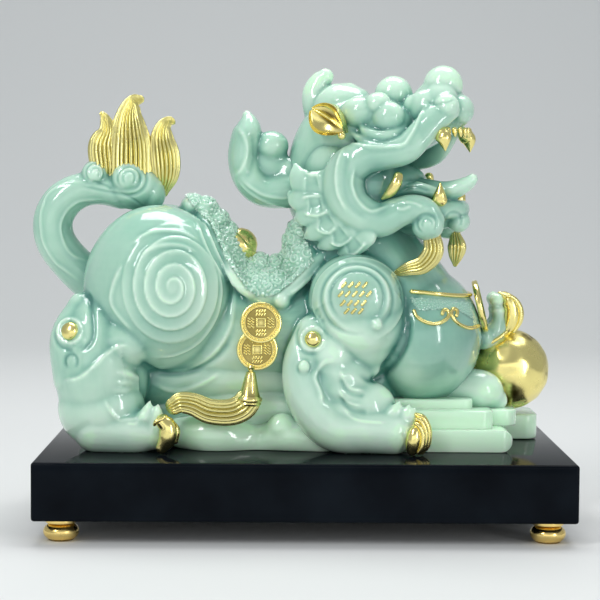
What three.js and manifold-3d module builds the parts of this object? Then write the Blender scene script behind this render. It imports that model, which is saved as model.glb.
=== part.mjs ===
// Pixiu figurine: a cast resin beast on a lacquered plinth with four brass feet.
// Millimetres, +Z up. The origin is the middle of the underside of the whole object.
// The beast looks along +X; its left flank, which carries the coins, faces -Y.
import * as THREE from 'three';
import { mergeVertices } from 'three/addons/utils/BufferGeometryUtils.js';
import Module from 'manifold-3d';

const wasm = await Module();
wasm.setup();

// Driving dimensions of the stand.
const PLINTH_LENGTH = 300;
const PLINTH_DEPTH = 180;
const PLINTH_HEIGHT = 32.5;
const PLINTH_CHAMFER = 1.6;
const PLINTH_CORNER = 3;
const FOOT_HEIGHT = 12.2;
const FOOT_RADIUS = 10.2;
const FOOT_INSET = 15;
const TOUCH_GAP = 0.3;

// Driving dimensions of the beast, from the middle of the plinth's top.
const TAIL_REACH = 160.1;
const SHIFT_X = (TAIL_REACH - PLINTH_LENGTH / 2) / 2;
const HALF_BODY = 25;
const LEG_OFFSET = 40;
const HEAD_PLACE = [26, 0, 172.6];
const HEAD_TURN = THREE.MathUtils.degToRad(-22);
const BALL_RADIUS = 24.2;
const BALL_PLACE = [123.3, 18, 42.1];
const COIN_RADIUS = 11.6;
const COIN_THICK = 3.2;
const SIDES = [-1, 1];

const SMALLEST = 0.0001;
const FIGURE_FACETS = 8400;
const SHORT_FIRST = 0.02;
const MOST_TURN = 0.2;

// A closed three.js geometry as a solid that can be joined and cut.
function toSolid(geometry) {
  geometry.deleteAttribute('normal');
  geometry.deleteAttribute('uv');
  const merged = mergeVertices(geometry, SMALLEST);
  const corners = merged.index.array;
  const faces = [];
  for (let i = 0; i < corners.length; i += 3) {
    const [a, b, c] = [corners[i], corners[i + 1], corners[i + 2]];
    if (a !== b && b !== c && c !== a) {
      faces.push(a, b, c);
    }
  }
  return new wasm.Manifold(new wasm.Mesh({
    numProp: 3,
    vertProperties: new Float32Array(merged.attributes.position.array),
    triVerts: new Uint32Array(faces),
  }));
}

// The finished solid as a three.js geometry.
function toGeometry(solid) {
  const mesh = solid.getMesh();
  const geometry = new THREE.BufferGeometry();
  const places = new THREE.BufferAttribute(new Float32Array(mesh.vertProperties), 3);
  geometry.setAttribute('position', places);
  geometry.setIndex(new THREE.BufferAttribute(new Uint32Array(mesh.triVerts), 1));
  geometry.computeVertexNormals();
  return geometry;
}

function join(solids) {
  return solids.reduce((whole, piece) => whole.add(piece));
}

// Adds up the planes as one symmetric 4 x 4 form, kept as ten numbers.
function addPlane(form, nx, ny, nz, d, weight) {
  const row = [nx, ny, nz, d];
  let slot = 0;
  for (let i = 0; i < 4; i += 1) {
    for (let j = i; j < 4; j += 1) {
      form[slot] += weight * row[i] * row[j];
      slot += 1;
    }
  }
}

function formError(form, [x, y, z]) {
  const row = [x, y, z, 1];
  let slot = 0;
  let sum = 0;
  for (let i = 0; i < 4; i += 1) {
    for (let j = i; j < 4; j += 1) {
      sum += (i === j ? 1 : 2) * form[slot] * row[i] * row[j];
      slot += 1;
    }
  }
  return sum;
}

// The area vector of a face.
function faceNormal(a, b, c) {
  const ab = [b[0] - a[0], b[1] - a[1], b[2] - a[2]];
  const ac = [c[0] - a[0], c[1] - a[1], c[2] - a[2]];
  return [
    ab[1] * ac[2] - ab[2] * ac[1], ab[2] * ac[0] - ab[0] * ac[2], ab[0] * ac[1] - ab[1] * ac[0],
  ];
}

// A closed mesh whose edges can be taken out one at a time.
class Facets {
  constructor(places, corners) {
    this.places = places;
    this.faces = [];
    this.around = places.map(() => new Set());
    this.forms = places.map(() => new Array(10).fill(0));
    this.stamp = new Array(places.length).fill(0);
    for (let i = 0; i < corners.length; i += 3) {
      const face = [corners[i], corners[i + 1], corners[i + 2]];
      face.forEach((vertex) => this.around[vertex].add(this.faces.length));
      this.faces.push(face);
      const [a, b, c] = face.map((vertex) => places[vertex]);
      const normal = faceNormal(a, b, c);
      const size = Math.hypot(...normal) || 1;
      const [nx, ny, nz] = normal.map((part) => part / size);
      const d = -(nx * a[0] + ny * a[1] + nz * a[2]);
      face.forEach((vertex) => addPlane(this.forms[vertex], nx, ny, nz, d, size));
    }
    this.count = this.faces.length;
  }

  neighbours(vertex) {
    const found = new Set();
    for (const face of this.around[vertex]) {
      this.faces[face].forEach((other) => found.add(other));
    }
    found.delete(vertex);
    return found;
  }

  // The cheapest of three new places for an edge, with what it costs.
  cost(a, b) {
    const [p, q] = [this.places[a], this.places[b]];
    const middle = p.map((part, i) => (part + q[i]) / 2);
    const form = this.forms[a].map((part, i) => part + this.forms[b][i]);
    let best = { error: Infinity };
    for (const place of [middle, p, q]) {
      const error = formError(form, place);
      if (error < best.error) {
        best = { error, place };
      }
    }
    const length = Math.hypot(p[0] - q[0], p[1] - q[1], p[2] - q[2]);
    return { a, b, place: best.place, error: Math.max(best.error, 0) + SHORT_FIRST * length };
  }

  // An edge may go if the mesh stays closed and no face turns over.
  allowed({ a, b, place }) {
    const near = this.neighbours(b);
    let shared = 0;
    for (const vertex of this.neighbours(a)) {
      shared += near.has(vertex) ? 1 : 0;
    }
    if (shared !== 2) {
      return false;
    }
    for (const [moved, other] of [[a, b], [b, a]]) {
      for (const face of this.around[moved]) {
        const corners = this.faces[face];
        if (corners.includes(other)) {
          continue;
        }
        const before = faceNormal(...corners.map((vertex) => this.places[vertex]));
        const after = faceNormal(...corners.map((v) => (v === moved ? place : this.places[v])));
        const sizes = Math.hypot(...before) * Math.hypot(...after);
        const dot = before[0] * after[0] + before[1] * after[1] + before[2] * after[2];
        if (Math.hypot(...after) < SMALLEST || dot < MOST_TURN * sizes) {
          return false;
        }
      }
    }
    return true;
  }

  take({ a, b, place }) {
    this.places[a] = place;
    this.forms[a] = this.forms[a].map((part, i) => part + this.forms[b][i]);
    for (const face of [...this.around[b]]) {
      const corners = this.faces[face];
      if (corners.includes(a)) {
        corners.forEach((vertex) => this.around[vertex].delete(face));
        this.faces[face] = null;
        this.count -= 1;
      } else {
        corners[corners.indexOf(b)] = a;
        this.around[a].add(face);
      }
    }
    this.around[b].clear();
  }
}

// A fine faceted solid with the least useful edges taken out until a count is reached.
function coarser(solid, target) {
  const mesh = solid.getMesh();
  const places = [];
  for (let i = 0; i < mesh.vertProperties.length; i += 3) {
    places.push(Array.from(mesh.vertProperties.slice(i, i + 3)));
  }
  const facetsLeft = new Facets(places, mesh.triVerts);
  while (facetsLeft.count > target) {
    const edges = [];
    for (const face of facetsLeft.faces.filter(Boolean)) {
      for (const [a, b] of [[face[0], face[1]], [face[1], face[2]], [face[2], face[0]]]) {
        if (a < b) {
          edges.push(facetsLeft.cost(a, b));
        }
      }
    }
    edges.sort((one, other) => one.error - other.error);
    const touched = new Set();
    let taken = 0;
    for (const edge of edges.slice(0, Math.ceil(edges.length / 6))) {
      const free = !touched.has(edge.a) && !touched.has(edge.b);
      if (free && facetsLeft.count > target && facetsLeft.allowed(edge)) {
        facetsLeft.neighbours(edge.a).forEach((vertex) => touched.add(vertex));
        facetsLeft.neighbours(edge.b).forEach((vertex) => touched.add(vertex));
        facetsLeft.take(edge);
        taken += 1;
      }
    }
    if (taken === 0) {
      break;
    }
  }
  const left = facetsLeft.faces.filter(Boolean).flat();
  const renumber = new Map();
  left.forEach((vertex) => renumber.set(vertex, renumber.get(vertex) ?? renumber.size));
  const kept = [...renumber.keys()].map((vertex) => facetsLeft.places[vertex]).flat();
  return new wasm.Manifold(new wasm.Mesh({
    numProp: 3,
    vertProperties: new Float32Array(kept),
    triVerts: new Uint32Array(left.map((vertex) => renumber.get(vertex))),
  }));
}

// Larger forms get more facets.
function facets(size) {
  if (size > 30) {
    return [24, 16];
  }
  if (size > 15) {
    return [16, 12];
  }
  if (size > 7) {
    return [12, 8];
  }
  return [8, 5];
}

// An egg: radii along x, y and z, turned by tilt degrees about the y axis.
function egg([x, y, z], [rx, ry, rz], tilt = 0) {
  const [around, up] = facets(Math.max(rx, ry, rz));
  const turn = new THREE.Quaternion();
  turn.setFromAxisAngle(new THREE.Vector3(0, 1, 0), THREE.MathUtils.degToRad(tilt));
  const place = new THREE.Matrix4();
  place.compose(new THREE.Vector3(x, y, z), turn, new THREE.Vector3(rx, ry, rz));
  return new THREE.SphereGeometry(1, around, up).applyMatrix4(place);
}

// A bent capsule through points [x, y, z, radius]. flat squeezes it along side,
// and ridges makes that many strands run along it.
function limb(points, { flat = 1, sides = 10, steps = 0, ridges = 0, side = [0, 1, 0] } = {}) {
  const spine = new THREE.CatmullRomCurve3(points.map(([x, y, z]) => new THREE.Vector3(x, y, z)));
  const girths = points.map((point) => new THREE.Vector3(point[3], 0, 0));
  const girth = new THREE.CatmullRomCurve3(girths, false, 'catmullrom');
  const rings = steps || (points.length - 1) * 3;
  const around = ridges ? ridges * 2 : sides;
  const capsule = new THREE.CapsuleGeometry(1, 2, 2, around, rings);
  const places = capsule.attributes.position;
  const vertex = new THREE.Vector3();
  for (let i = 0; i < places.count; i += 1) {
    vertex.fromBufferAttribute(places, i);
    const along = THREE.MathUtils.clamp((vertex.y + 1) / 2, 0, 1);
    const past = vertex.y - THREE.MathUtils.clamp(vertex.y, -1, 1);
    const tangent = spine.getTangent(along);
    const across = new THREE.Vector3(...side);
    across.addScaledVector(tangent, -across.dot(tangent)).normalize();
    const normal = tangent.clone().cross(across);
    const radius = girth.getPoint(along).x;
    const angle = Math.atan2(vertex.z, vertex.x);
    const strand = ridges ? 1 + 0.09 * Math.cos(ridges * angle) : 1;
    const place = spine.getPoint(along);
    place.addScaledVector(normal, vertex.x * radius * strand);
    place.addScaledVector(across, vertex.z * radius * strand * flat);
    place.addScaledVector(tangent, past * radius);
    places.setXYZ(i, place.x, place.y, place.z);
  }
  return capsule;
}

// A slab with a rounded end towards +X, standing on z = low.
function slab({ left, right, front, back, low, high, end = 10 }) {
  const outline = new THREE.Shape();
  outline.moveTo(left, front);
  outline.lineTo(right - end, front);
  outline.quadraticCurveTo(right, front, right, front + end);
  outline.lineTo(right, back - end);
  outline.quadraticCurveTo(right, back, right - end, back);
  outline.lineTo(left, back);
  outline.closePath();
  const settings = { depth: high - low, bevelEnabled: false, curveSegments: 4 };
  return new THREE.ExtrudeGeometry(outline, settings).translate(0, 0, low);
}

// A disc of a given thickness whose face looks along a direction.
function disc([x, y, z], radius, thick, look, sides = 16) {
  const turn = new THREE.Quaternion();
  turn.setFromUnitVectors(new THREE.Vector3(0, 1, 0), new THREE.Vector3(...look).normalize());
  const place = new THREE.Matrix4();
  place.compose(new THREE.Vector3(x, y, z), turn, new THREE.Vector3(1, 1, 1));
  return new THREE.CylinderGeometry(radius, radius, thick, sides).applyMatrix4(place);
}

// A raised spiral on the outer face of an egg, centred aside from the egg's own middle.
function spiral(place, radii, { aside, start, growth, turns, phase, thick, way }) {
  const points = [];
  const count = Math.round(turns * 14);
  for (let i = 0; i <= count; i += 1) {
    const share = i / count;
    const angle = phase + way * 2 * Math.PI * turns * share;
    const reach = start + growth * share ** 1.2;
    const dx = aside[0] + reach * Math.cos(angle);
    const dz = aside[1] + reach * Math.sin(angle);
    const fall = 1 - (dx / radii[0]) ** 2 - (dz / radii[2]) ** 2;
    const out = Math.sign(place[1]) * (radii[1] * Math.sqrt(Math.max(fall, 0.05)) - thick * 0.4);
    points.push([place[0] + dx, place[1] + out, place[2] + dz, thick]);
  }
  return limb(points, { sides: 6, steps: count });
}

// A cash coin or pendant: a raised rim round a sunk face, looking along a direction.
function coin(place, radius, thick, look) {
  const rim = 1;
  const profile = [[0, -thick], [radius, -thick], [radius, 0], [radius * 0.86, 0],
    [radius * 0.8, -rim], [radius * 0.26, -rim], [radius * 0.22, 0], [0, 0]];
  const turn = new THREE.Quaternion();
  turn.setFromUnitVectors(new THREE.Vector3(0, 1, 0), new THREE.Vector3(...look).normalize());
  const matrix = new THREE.Matrix4();
  matrix.compose(new THREE.Vector3(...place), turn, new THREE.Vector3(1, 1, 1));
  const points = profile.map(([r, y]) => new THREE.Vector2(r, y));
  return new THREE.LatheGeometry(points, 18).applyMatrix4(matrix);
}

function bodyForms() {
  const forms = [
    limb([[-84, 0, 72, 40], [-28, 0, 66, 41], [30, 0, 64, 41]], { sides: 18, steps: 6 }),
    egg([-71, 0, 95], [41, 32, 44]),
    egg([67, 0, 63.5], [37.5, 48, 41.5]),
    limb([[50, 0, 78, 42], [29, 0, 120, 34], [25, 0, 158, 31]], { sides: 14, steps: 5 }),
  ];
  return forms;
}

function haunch(side) {
  const place = [-85, side * HALF_BODY, 92];
  const radii = [43, 37, 48];
  return [
    egg(place, radii),
    spiral(place, radii, {
      aside: [7, -1], start: 4, growth: 30, turns: 2.4, phase: 2.2, thick: 2.2, way: side,
    }),
  ];
}

function hindLeg(side) {
  const y = side * LEG_OFFSET;
  return [
    limb([[-128, y * 0.9, 82, 8], [-132.5, y, 64, 13], [-129, y, 42, 15]]),
    egg([-108, y * 0.95, 45], [35, 23, 42]),
    limb([[-117, y * 1.05, 14, 16], [-98, y * 1.1, 13, 15], [-86, y * 1.15, 12, 11]]),
    egg([-89, y * 1.3, 24], [6, 5, 6]),
    egg([-82, y * 1.25, 18], [6, 6, 7]),
    egg([-78, y * 1.42, 10], [6.2, 5, 10]),
    egg([-132, y * 1.32, 69], [5.3, 3.5, 5.3]),
    egg([-131, y * 1.3, 52], [4, 4, 4]),
  ];
}

function shoulder(side) {
  const y = side * LEG_OFFSET;
  return [
    limb([[28, y * 0.9, 87, 26.5], [39, y, 68, 22], [37, y * 1.1, 52, 9]], {
      sides: 14, steps: 5, flat: 0.92,
    }),
    egg([29, side * 44, 87], [25, 19, 23]),
    spiral([29, side * 44, 87], [25, 19, 23], {
      aside: [0, 0], start: 15.5, growth: 4.5, turns: 1.7, phase: -0.8, thick: 1.6, way: side,
    }),
    egg([39.5, side * 60, 74.5], [3.2, 3.2, 3.2]),
  ];
}

// The near foreleg is planted, and its paw ends in a gilded shell claw.
function foreLeg() {
  return [
    limb([[5, -43, 68, 11], [-0.5, -45, 50, 12.5], [3, -46, 32, 14], [16, -47, 16, 14.5],
      [36, -48, 14, 14], [50, -49, 12.5, 13]], { sides: 10, steps: 10 }),
    egg([24, -41, 38], [17, 17, 20]),
    egg([34, -44, 24], [16, 15, 14]),
    limb([[36, -56, 38, 3.5], [42, -57, 29, 4], [52, -56, 25, 4]]),
    limb([[27, -57, 36, 3.5], [34, -59, 25, 4], [48, -59, 19, 4]]),
    egg([52, -51, 30], [4.5, 4, 6]),
    egg([58, -51, 20], [6, 6, 9]),
    egg([62, -56, 11.5], [6.5, 6, 12]),
    egg([57.5, -59, 9], [5, 5, 9]),
    egg([4, -57.5, 66], [4.7, 4, 4.7]),
    egg([-1, -57, 50.5], [4, 4, 4]),
  ];
}

// The far foreleg reaches forward and holds the ball down with its claws.
function reachingLeg() {
  const forms = [
    limb([[38, 44, 76, 19], [72, 44, 60, 15], [98, 34, 58, 12], [113, 18, 66, 8.5]], {
      sides: 10, steps: 6,
    }),
    egg(BALL_PLACE, [BALL_RADIUS, BALL_RADIUS, BALL_RADIUS]),
  ];
  for (const finger of [-1, 0, 1]) {
    const y = 16 + finger * 9;
    forms.push(egg([113.5, y, 83], [4.6, 4.6, 4.6]));
    forms.push(limb([[114, y, 80, 4.4], [115.5, y, 72, 5], [117, y, 65, 6]]));
    forms.push(limb([[118, y, 88, 2.4], [125.5, y, 82, 4.6], [126, y, 72, 4.2], [121, y, 62, 2]]));
  }
  return forms;
}

function stepsAndClouds() {
  const forms = [
    slab({ left: 30, right: 116, front: -44, back: 46, low: 0, high: 12.7, end: 12 }),
    slab({ left: 30, right: 107, front: -38, back: 42, low: 12, high: 23.3, end: 12 }),
    slab({ left: 30, right: 97, front: -30, back: 36, low: 22, high: 29, end: 12 }),
    slab({ left: 90, right: 124, front: -12, back: 40, low: 12, high: 22.2, end: 10 }),
    slab({ left: 90, right: 141, front: 10, back: 52, low: 0, high: 15.2, end: 10 }),
    egg([107, -10, 31], [14, 13, 13]),
    slab({ left: -104, right: 40, front: -33, back: 33, low: 0, high: 34, end: 6 }),
  ];
  for (const side of SIDES) {
    forms.push(limb([[-72, side * 30, 9, 9], [-52, side * 34, 8, 13], [-28, side * 31, 5, 9],
      [-10, side * 34, 8, 11], [10, side * 38, 5, 8]], { sides: 8, steps: 10 }));
    forms.push(egg([-12, side * 42, 15], [8, 6, 8]));
  }
  return forms;
}

function tail() {
  return [
    limb([[-108, 0, 82, 16], [-122, 0, 92, 13.5], [-136, 0, 103.5, 12], [-146.5, 0, 117, 11.8],
      [-148.5, 0, 130, 11.7], [-143, 0, 141, 11.4], [-133, 0, 147.5, 10.4], [-121, 0, 149, 9.6],
      [-108, 0, 147, 10]], { sides: 10, steps: 16 }),
    egg([-100, 0, 149], [17, 14, 12.5]),
    egg([-91, 0, 147], [9, 11, 11]),
    egg([-124, 0, 159], [7, 12, 7]),
    egg([-104.4, 0, 156], [10.5, 15, 10.5]),
  ];
}

// The gilded flame tuft: three locks of strands, the middle one tallest.
function flameTuft() {
  return [
    limb([[-103.5, 0, 160, 12.5], [-103.5, 0, 173, 12.2], [-104, 0, 185, 9.8], [-103.5, 0, 194, 6.6],
      [-101, 0, 200, 4.2], [-97, 0, 201.5, 2.2]], { ridges: 8, flat: 0.75, steps: 7 }),
    limb([[-118, 0, 164, 8], [-119, 0, 174, 8], [-116.5, 0, 183, 5.2], [-118, 0, 190, 2.8],
      [-120, 0, 193, 1.4]], { ridges: 6, flat: 0.9, steps: 6 }),
    limb([[-84, 0, 147, 3], [-82.5, 0, 157, 7.4], [-83, 0, 168, 8.4], [-84.5, 0, 178, 6.8],
      [-83.5, 0, 185.5, 4.4], [-80, 0, 189, 2.6], [-78, 0, 188, 1.5]], {
      ridges: 6, flat: 0.9, steps: 8,
    }),
  ];
}

// The ruyi lock that curls up behind the neck like a cupped leaf.
function ruyiLock() {
  return [
    limb([[-4, 0, 146, 11], [-19, 0, 146, 8.6], [-31, 0, 151, 7.6], [-39, 0, 161, 7],
      [-40, 0, 173, 6.8], [-35, 0, 184, 5.6], [-34.5, 0, 191, 2]], {
      flat: 1.7, sides: 10, steps: 12,
    }),
    egg([-26, 0, 161], [12, 7, 14]),
    egg([-9, 0, 156], [10, 9, 10]),
    egg([-20.5, 0, 175], [8.4, 10, 8.4]),
    limb([[-22, 0, 166, 7], [-12, 0, 166, 5.5], [-2, 0, 163, 6]], { flat: 1.3 }),
  ];
}

// The saddle cloth with its crest along the spine, rolled edges and gilded button.
function saddle() {
  const crest = [
    [-66.8, 140, 7], [-59, 138, 7.4], [-52.5, 131, 7.6], [-46.5, 124, 7],
    [-27, 106, 8], [-16.5, 108, 8], [-8.5, 115, 8.5], [-3, 126, 9],
  ];
  const forms = crest.map(([x, z, r]) => egg([x, 0, z - 1], [r, r * 2.1, r]));
  forms.push(disc([-37.5, 0, 118.5], 10.5, 4, [0.72, 0, 0.7]));
  forms.push(egg([-36.5, 0, 119.5], [7.6, 9.5, 7.6]));
  for (const side of SIDES) {
    forms.push(limb([[-66, 0, 138, 3.4], [-57, side * 20, 129, 3.4], [-47, side * 34, 110, 3.2],
      [-38, side * 41, 95, 3.2]], { steps: 6 }));
    forms.push(limb([[8, side * 24, 109, 4], [-3, side * 31, 98, 3.8], [-12, side * 35, 89, 4]]));
    forms.push(egg([-14, side * 37, 86.5], [5.4, 5, 5.4]));
    forms.push(egg([-31, side * 36, 90.5], [4, 4, 4]));
    forms.push(egg([-22, side * 15, 88], [24, 25, 15]));
  }
  return forms;
}

// Two coins, a bell cap and a swung tassel hang over the near flank.
function coinsAndTassel() {
  return [
    coin([-27.4, -46.5, 58.7], COIN_RADIUS, COIN_THICK + 5, [0, -1, -0.1]),
    coin([-25.3, -49, 74.3], COIN_RADIUS, COIN_THICK + 10, [0, -1, 0.1]),
    egg([-30.7, -46, 46], [3.2, 5, 3.2]),
    limb([[-30.8, -46, 43, 4], [-31.6, -46, 37, 5.6], [-32.6, -46, 31, 7.4]]),
    limb([[-33.5, -46, 28, 7.2], [-42, -47, 23, 7.4], [-54, -48, 23.4, 7.2], [-63, -48, 27.6, 6.2],
      [-71, -48, 28, 5.8], [-75, -48, 26, 4.6]], { ridges: 6, steps: 9 }),
  ];
}

// A point on the chest at a height and an angle from straight ahead.
function onChest(angle, z, lift = 0) {
  const band = Math.sqrt(1 - ((z - 63.5) / 41.5) ** 2);
  return [67 + (37.5 * band + lift) * Math.cos(angle), (48 * band + lift) * Math.sin(angle), z];
}

// The neck cord with its pendant coin.
function necklace() {
  const points = [];
  for (let i = 0; i <= 10; i += 1) {
    const angle = THREE.MathUtils.degToRad(-110 + 22 * i);
    points.push([...onChest(angle, 91.5 - 4 * Math.cos(angle)), 1.8]);
  }
  return [
    limb(points, { sides: 5, steps: 14, side: [0, 0, 1] }),
    coin([104.5, -1.2, 81.5], 15.5, 6, [0.97, -0.12, 0.24]),
  ];
}

// Forms of the head in its own frame: x along the snout, y across, z up.
function headForms() {
  const forms = [
    egg([1, 0, 4.5], [29, 27, 29.5]),
    egg([-8, 0, -10], [27, 25, 26]),
    limb([[-17, 0, 20, 10.5], [-23, 0, 33, 7.8], [-20, 0, 40.5, 5.9], [-15.5, 0, 44.5, 3.8]]),
    limb([[4, 0, 2, 26], [31, 0, 12, 17.5], [58, 0, 19.5, 11.5]], { sides: 12, steps: 5 }),
    limb([[18, 0, 2, 12], [42, 0, 9.5, 10.5], [58, 0, 16.5, 8.5]], { flat: 1.9, steps: 5 }),
    limb([[20, 0, -38, 11], [42, 0, -37, 9], [60, 0, -36, 6.5]], { flat: 2, steps: 5 }),
    limb([[4, 0, -32, 24], [28, 0, -38, 15], [50, 0, -38, 9], [62, 0, -37, 8]], {
      sides: 10, steps: 6,
    }),
    egg([25.6, 0, 32], [11.1, 10, 11.1]),
    egg([56.6, 0, 37], [11.6, 10.5, 11.6]),
    egg([52, 0, 27], [10.5, 12, 10.5]),
    egg([40, 0, 26], [6, 13, 6]),
    egg([67, 0, 23], [8, 10, 9]),
    egg([67, 0, -41], [6.5, 8, 6.5]),
    egg([28, 0, -18], [20, 23, 15]),
    limb([[38, 0, -29, 8], [56, -3, -24, 5.5], [68, -5, -20.5, 4.2], [76, -6, -16.3, 3]], {
      flat: 1.3, steps: 5,
    }),
    limb([[64, -15, 12.5, 2.6], [70, -8, 12.5, 2.6], [72, 0, 12.5, 2.6], [70, 8, 12.5, 2.6],
      [64, 15, 12.5, 2.6]], { sides: 5, side: [0, 0, 1] }),
  ];
  return forms;
}

// One side of the face: lip and cheek roll, brow, eye, ear, nostril, teeth and chin curl.
function faceSide(side) {
  const y = (across) => side * across;
  const forms = [
    limb([[62, y(14), 22, 7.8], [55, y(18), 14.5, 8], [49, y(22), 4, 8.4], [41, y(26), -4, 8.6],
      [30, y(30), -5, 8.8], [17, y(32), -7, 9.4], [8.5, y(33), -17, 10.3], [8.5, y(33), -29, 10.8],
      [17, y(32), -38, 10.6], [28, y(30), -39, 9.8], [40, y(27), -33, 8.8], [53, y(20), -32, 7.6],
      [64, y(15), -32.5, 6.8]], { sides: 8, steps: 22, flat: 0.9 }),
    egg([63, y(14), 24.3], [7.6, 7, 7.6]),
    egg([30.8, y(20), 18], [9.2, 8, 9.2]),
    egg([22, y(13), 7], [21, 13, 13]),
    egg([12, y(14), -22], [24, 16, 24]),
    limb([[17, y(24), 14, 3.2], [24, y(25), 7.5, 3.4], [34, y(22), 6.5, 3.2], [41, y(18), 12, 2.6]]),
    egg([13, y(20), 22.5], [8.6, 8, 8]),
    egg([23.5, y(18), 26], [7, 8, 7]),
    egg([1.5, y(30), 14.3], [13.4, 6, 8.6], 14),
    egg([54, y(17), -43.5], [9, 8, 9]),
    limb([[63, y(18), 13, 4.4], [64, y(18.5), 7, 3.6], [65, y(18), 0.5, 1]], { sides: 6 }),
    limb([[61.5, y(17), -30, 4], [63.5, y(17.5), -20, 1.2]], { sides: 6 }),
    limb([[39, y(26), -15, 3], [36, y(27), -22, 3.2], [30, y(26), -28, 2]], { sides: 6 }),
  ];
  if (side < 0) {
    forms.push(limb([[56.5, -18, -50, 4.6], [57.5, -18.5, -58, 5.2], [52, -20, -65.5, 4.6],
      [44, -22, -68, 3.4], [36, -23, -70.5, 1.4]], { ridges: 5, steps: 7 }));
  } else {
    forms.push(limb([[60, 17, -50, 2.6], [61, 17, -58, 4.8], [60, 17, -66, 1.8]], {
      ridges: 5, steps: 4,
    }));
  }
  return forms;
}

// The frill behind the cheek is a fan of overlapping lobes.
function frill(side) {
  const forms = [];
  for (let lobe = 0; lobe < 7; lobe += 1) {
    const angle = THREE.MathUtils.degToRad(168 + 17 * lobe);
    const reach = 47 - 0.5 * lobe;
    const tip = [20 + reach * Math.cos(angle), -20 + reach * Math.sin(angle)];
    const root = [20 + 20 * Math.cos(angle), -20 + 20 * Math.sin(angle)];
    const middle = [(tip[0] + root[0]) / 2, (tip[1] + root[1]) / 2];
    const spread = 22 + 6 * Math.sin(((lobe + 1) / 8) * Math.PI);
    forms.push(limb([[root[0], side * (spread - 1), root[1], 8.5],
      [middle[0], side * spread, middle[1], 8], [tip[0], side * (spread - 6), tip[1] + 3, 2.4]], {
      flat: 0.7, sides: 8, steps: 4,
    }));
  }
  return forms;
}

function head() {
  const forms = [...headForms()];
  for (const side of SIDES) {
    forms.push(...faceSide(side), ...frill(side));
  }
  const place = new THREE.Matrix4().makeRotationZ(HEAD_TURN).setPosition(...HEAD_PLACE);
  return forms.map((form) => form.applyMatrix4(place));
}

// All forms joined, then cut flat where the casting meets the plinth.
function figureGeometry() {
  const forms = [
    ...bodyForms(), ...stepsAndClouds(), ...foreLeg(), ...reachingLeg(), ...tail(),
    ...flameTuft(), ...ruyiLock(), ...saddle(), ...coinsAndTassel(), ...necklace(), ...head(),
  ];
  for (const side of SIDES) {
    forms.push(...haunch(side), ...hindLeg(side), ...shoulder(side));
  }
  const whole = join(forms.map(toSolid));
  const below = new THREE.BoxGeometry(400, 300, 100).translate(0, 0, TOUCH_GAP - 50);
  return toGeometry(coarser(whole.subtract(toSolid(below)), FIGURE_FACETS));
}

function plinthGeometry() {
  const half = [PLINTH_LENGTH / 2 - PLINTH_CHAMFER, PLINTH_DEPTH / 2 - PLINTH_CHAMFER];
  const outline = new THREE.Shape();
  const corners = [[1, 1, 0], [-1, 1, 0.5], [-1, -1, 1], [1, -1, 1.5]];
  for (const [sx, sy, turn] of corners) {
    const x = sx * (half[0] - PLINTH_CORNER);
    const y = sy * (half[1] - PLINTH_CORNER);
    const start = turn * Math.PI;
    outline.absarc(x, y, PLINTH_CORNER, start, start + Math.PI / 2, false);
  }
  outline.closePath();
  const settings = {
    depth: PLINTH_HEIGHT - 2 * PLINTH_CHAMFER,
    bevelThickness: PLINTH_CHAMFER,
    bevelSize: PLINTH_CHAMFER,
    bevelSegments: 1,
    curveSegments: 3,
  };
  const lift = FOOT_HEIGHT + TOUCH_GAP + PLINTH_CHAMFER;
  return new THREE.ExtrudeGeometry(outline, settings).translate(0, 0, lift);
}

// A squashed ball between a small sole and a collar under the plinth.
function footGeometry() {
  const profile = [[0, 0], [6.5, 0]];
  const ballTop = FOOT_HEIGHT - 2.4;
  for (let i = 0; i <= 6; i += 1) {
    const angle = THREE.MathUtils.degToRad(-62 + 124 * (i / 6));
    const z = ballTop / 2 + (ballTop / 2 - 0.6) * Math.sin(angle) / Math.sin(Math.PI * 62 / 180);
    profile.push([FOOT_RADIUS * Math.cos(angle) ** 0.8, z]);
  }
  profile.push([8.6, ballTop], [8.6, FOOT_HEIGHT], [0, FOOT_HEIGHT]);
  const turned = new THREE.LatheGeometry(profile.map(([r, z]) => new THREE.Vector2(r, z)), 14);
  return turned.rotateX(Math.PI / 2);
}

const jade = new THREE.MeshStandardMaterial({ color: 0x9fcdb9, roughness: 0.15, metalness: 0 });
const lacquer = new THREE.MeshStandardMaterial({ color: 0x0b0b0d, roughness: 0.12, metalness: 0 });
const brass = new THREE.MeshStandardMaterial({ color: 0xd9b45a, roughness: 0.2, metalness: 1 });

function piece(name, geometry, material, place) {
  const mesh = new THREE.Mesh(geometry, material);
  mesh.name = name;
  mesh.position.set(...place);
  return mesh;
}

const pixiu = new THREE.Group();
const plinthTop = FOOT_HEIGHT + TOUCH_GAP + PLINTH_HEIGHT;
pixiu.add(piece('pixiu_figure', figureGeometry(), jade, [SHIFT_X, 0, plinthTop]));
pixiu.add(piece('plinth', plinthGeometry(), lacquer, [SHIFT_X, 0, 0]));
for (const [end, sx] of [['rear', -1], ['front', 1]]) {
  for (const [flank, sy] of [['left', -1], ['right', 1]]) {
    const x = SHIFT_X + sx * (PLINTH_LENGTH / 2 - FOOT_INSET);
    const y = sy * (PLINTH_DEPTH / 2 - FOOT_INSET);
    pixiu.add(piece(`foot_${end}_${flank}`, footGeometry(), brass, [x, y, 0]));
  }
}

export default pixiu;
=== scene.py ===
# %% [markdown]
# # A pixiu figurine in jade-green resin
# The real thing is one resin casting: a guardian beast with gilded details, glued to a black
# lacquered plinth on four brass ball feet. A sculptor builds such a beast from balls and rolls
# of clay, melts them together under a wet thumb, and then cuts the relief. This script does the
# same: forms are laid down, cast into one skin, and carved.

# %% Load the frame
import math
import random

import bpy
import numpy as np
from mathutils import Matrix, Vector, noise
from mathutils.bvhtree import BVHTree


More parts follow.
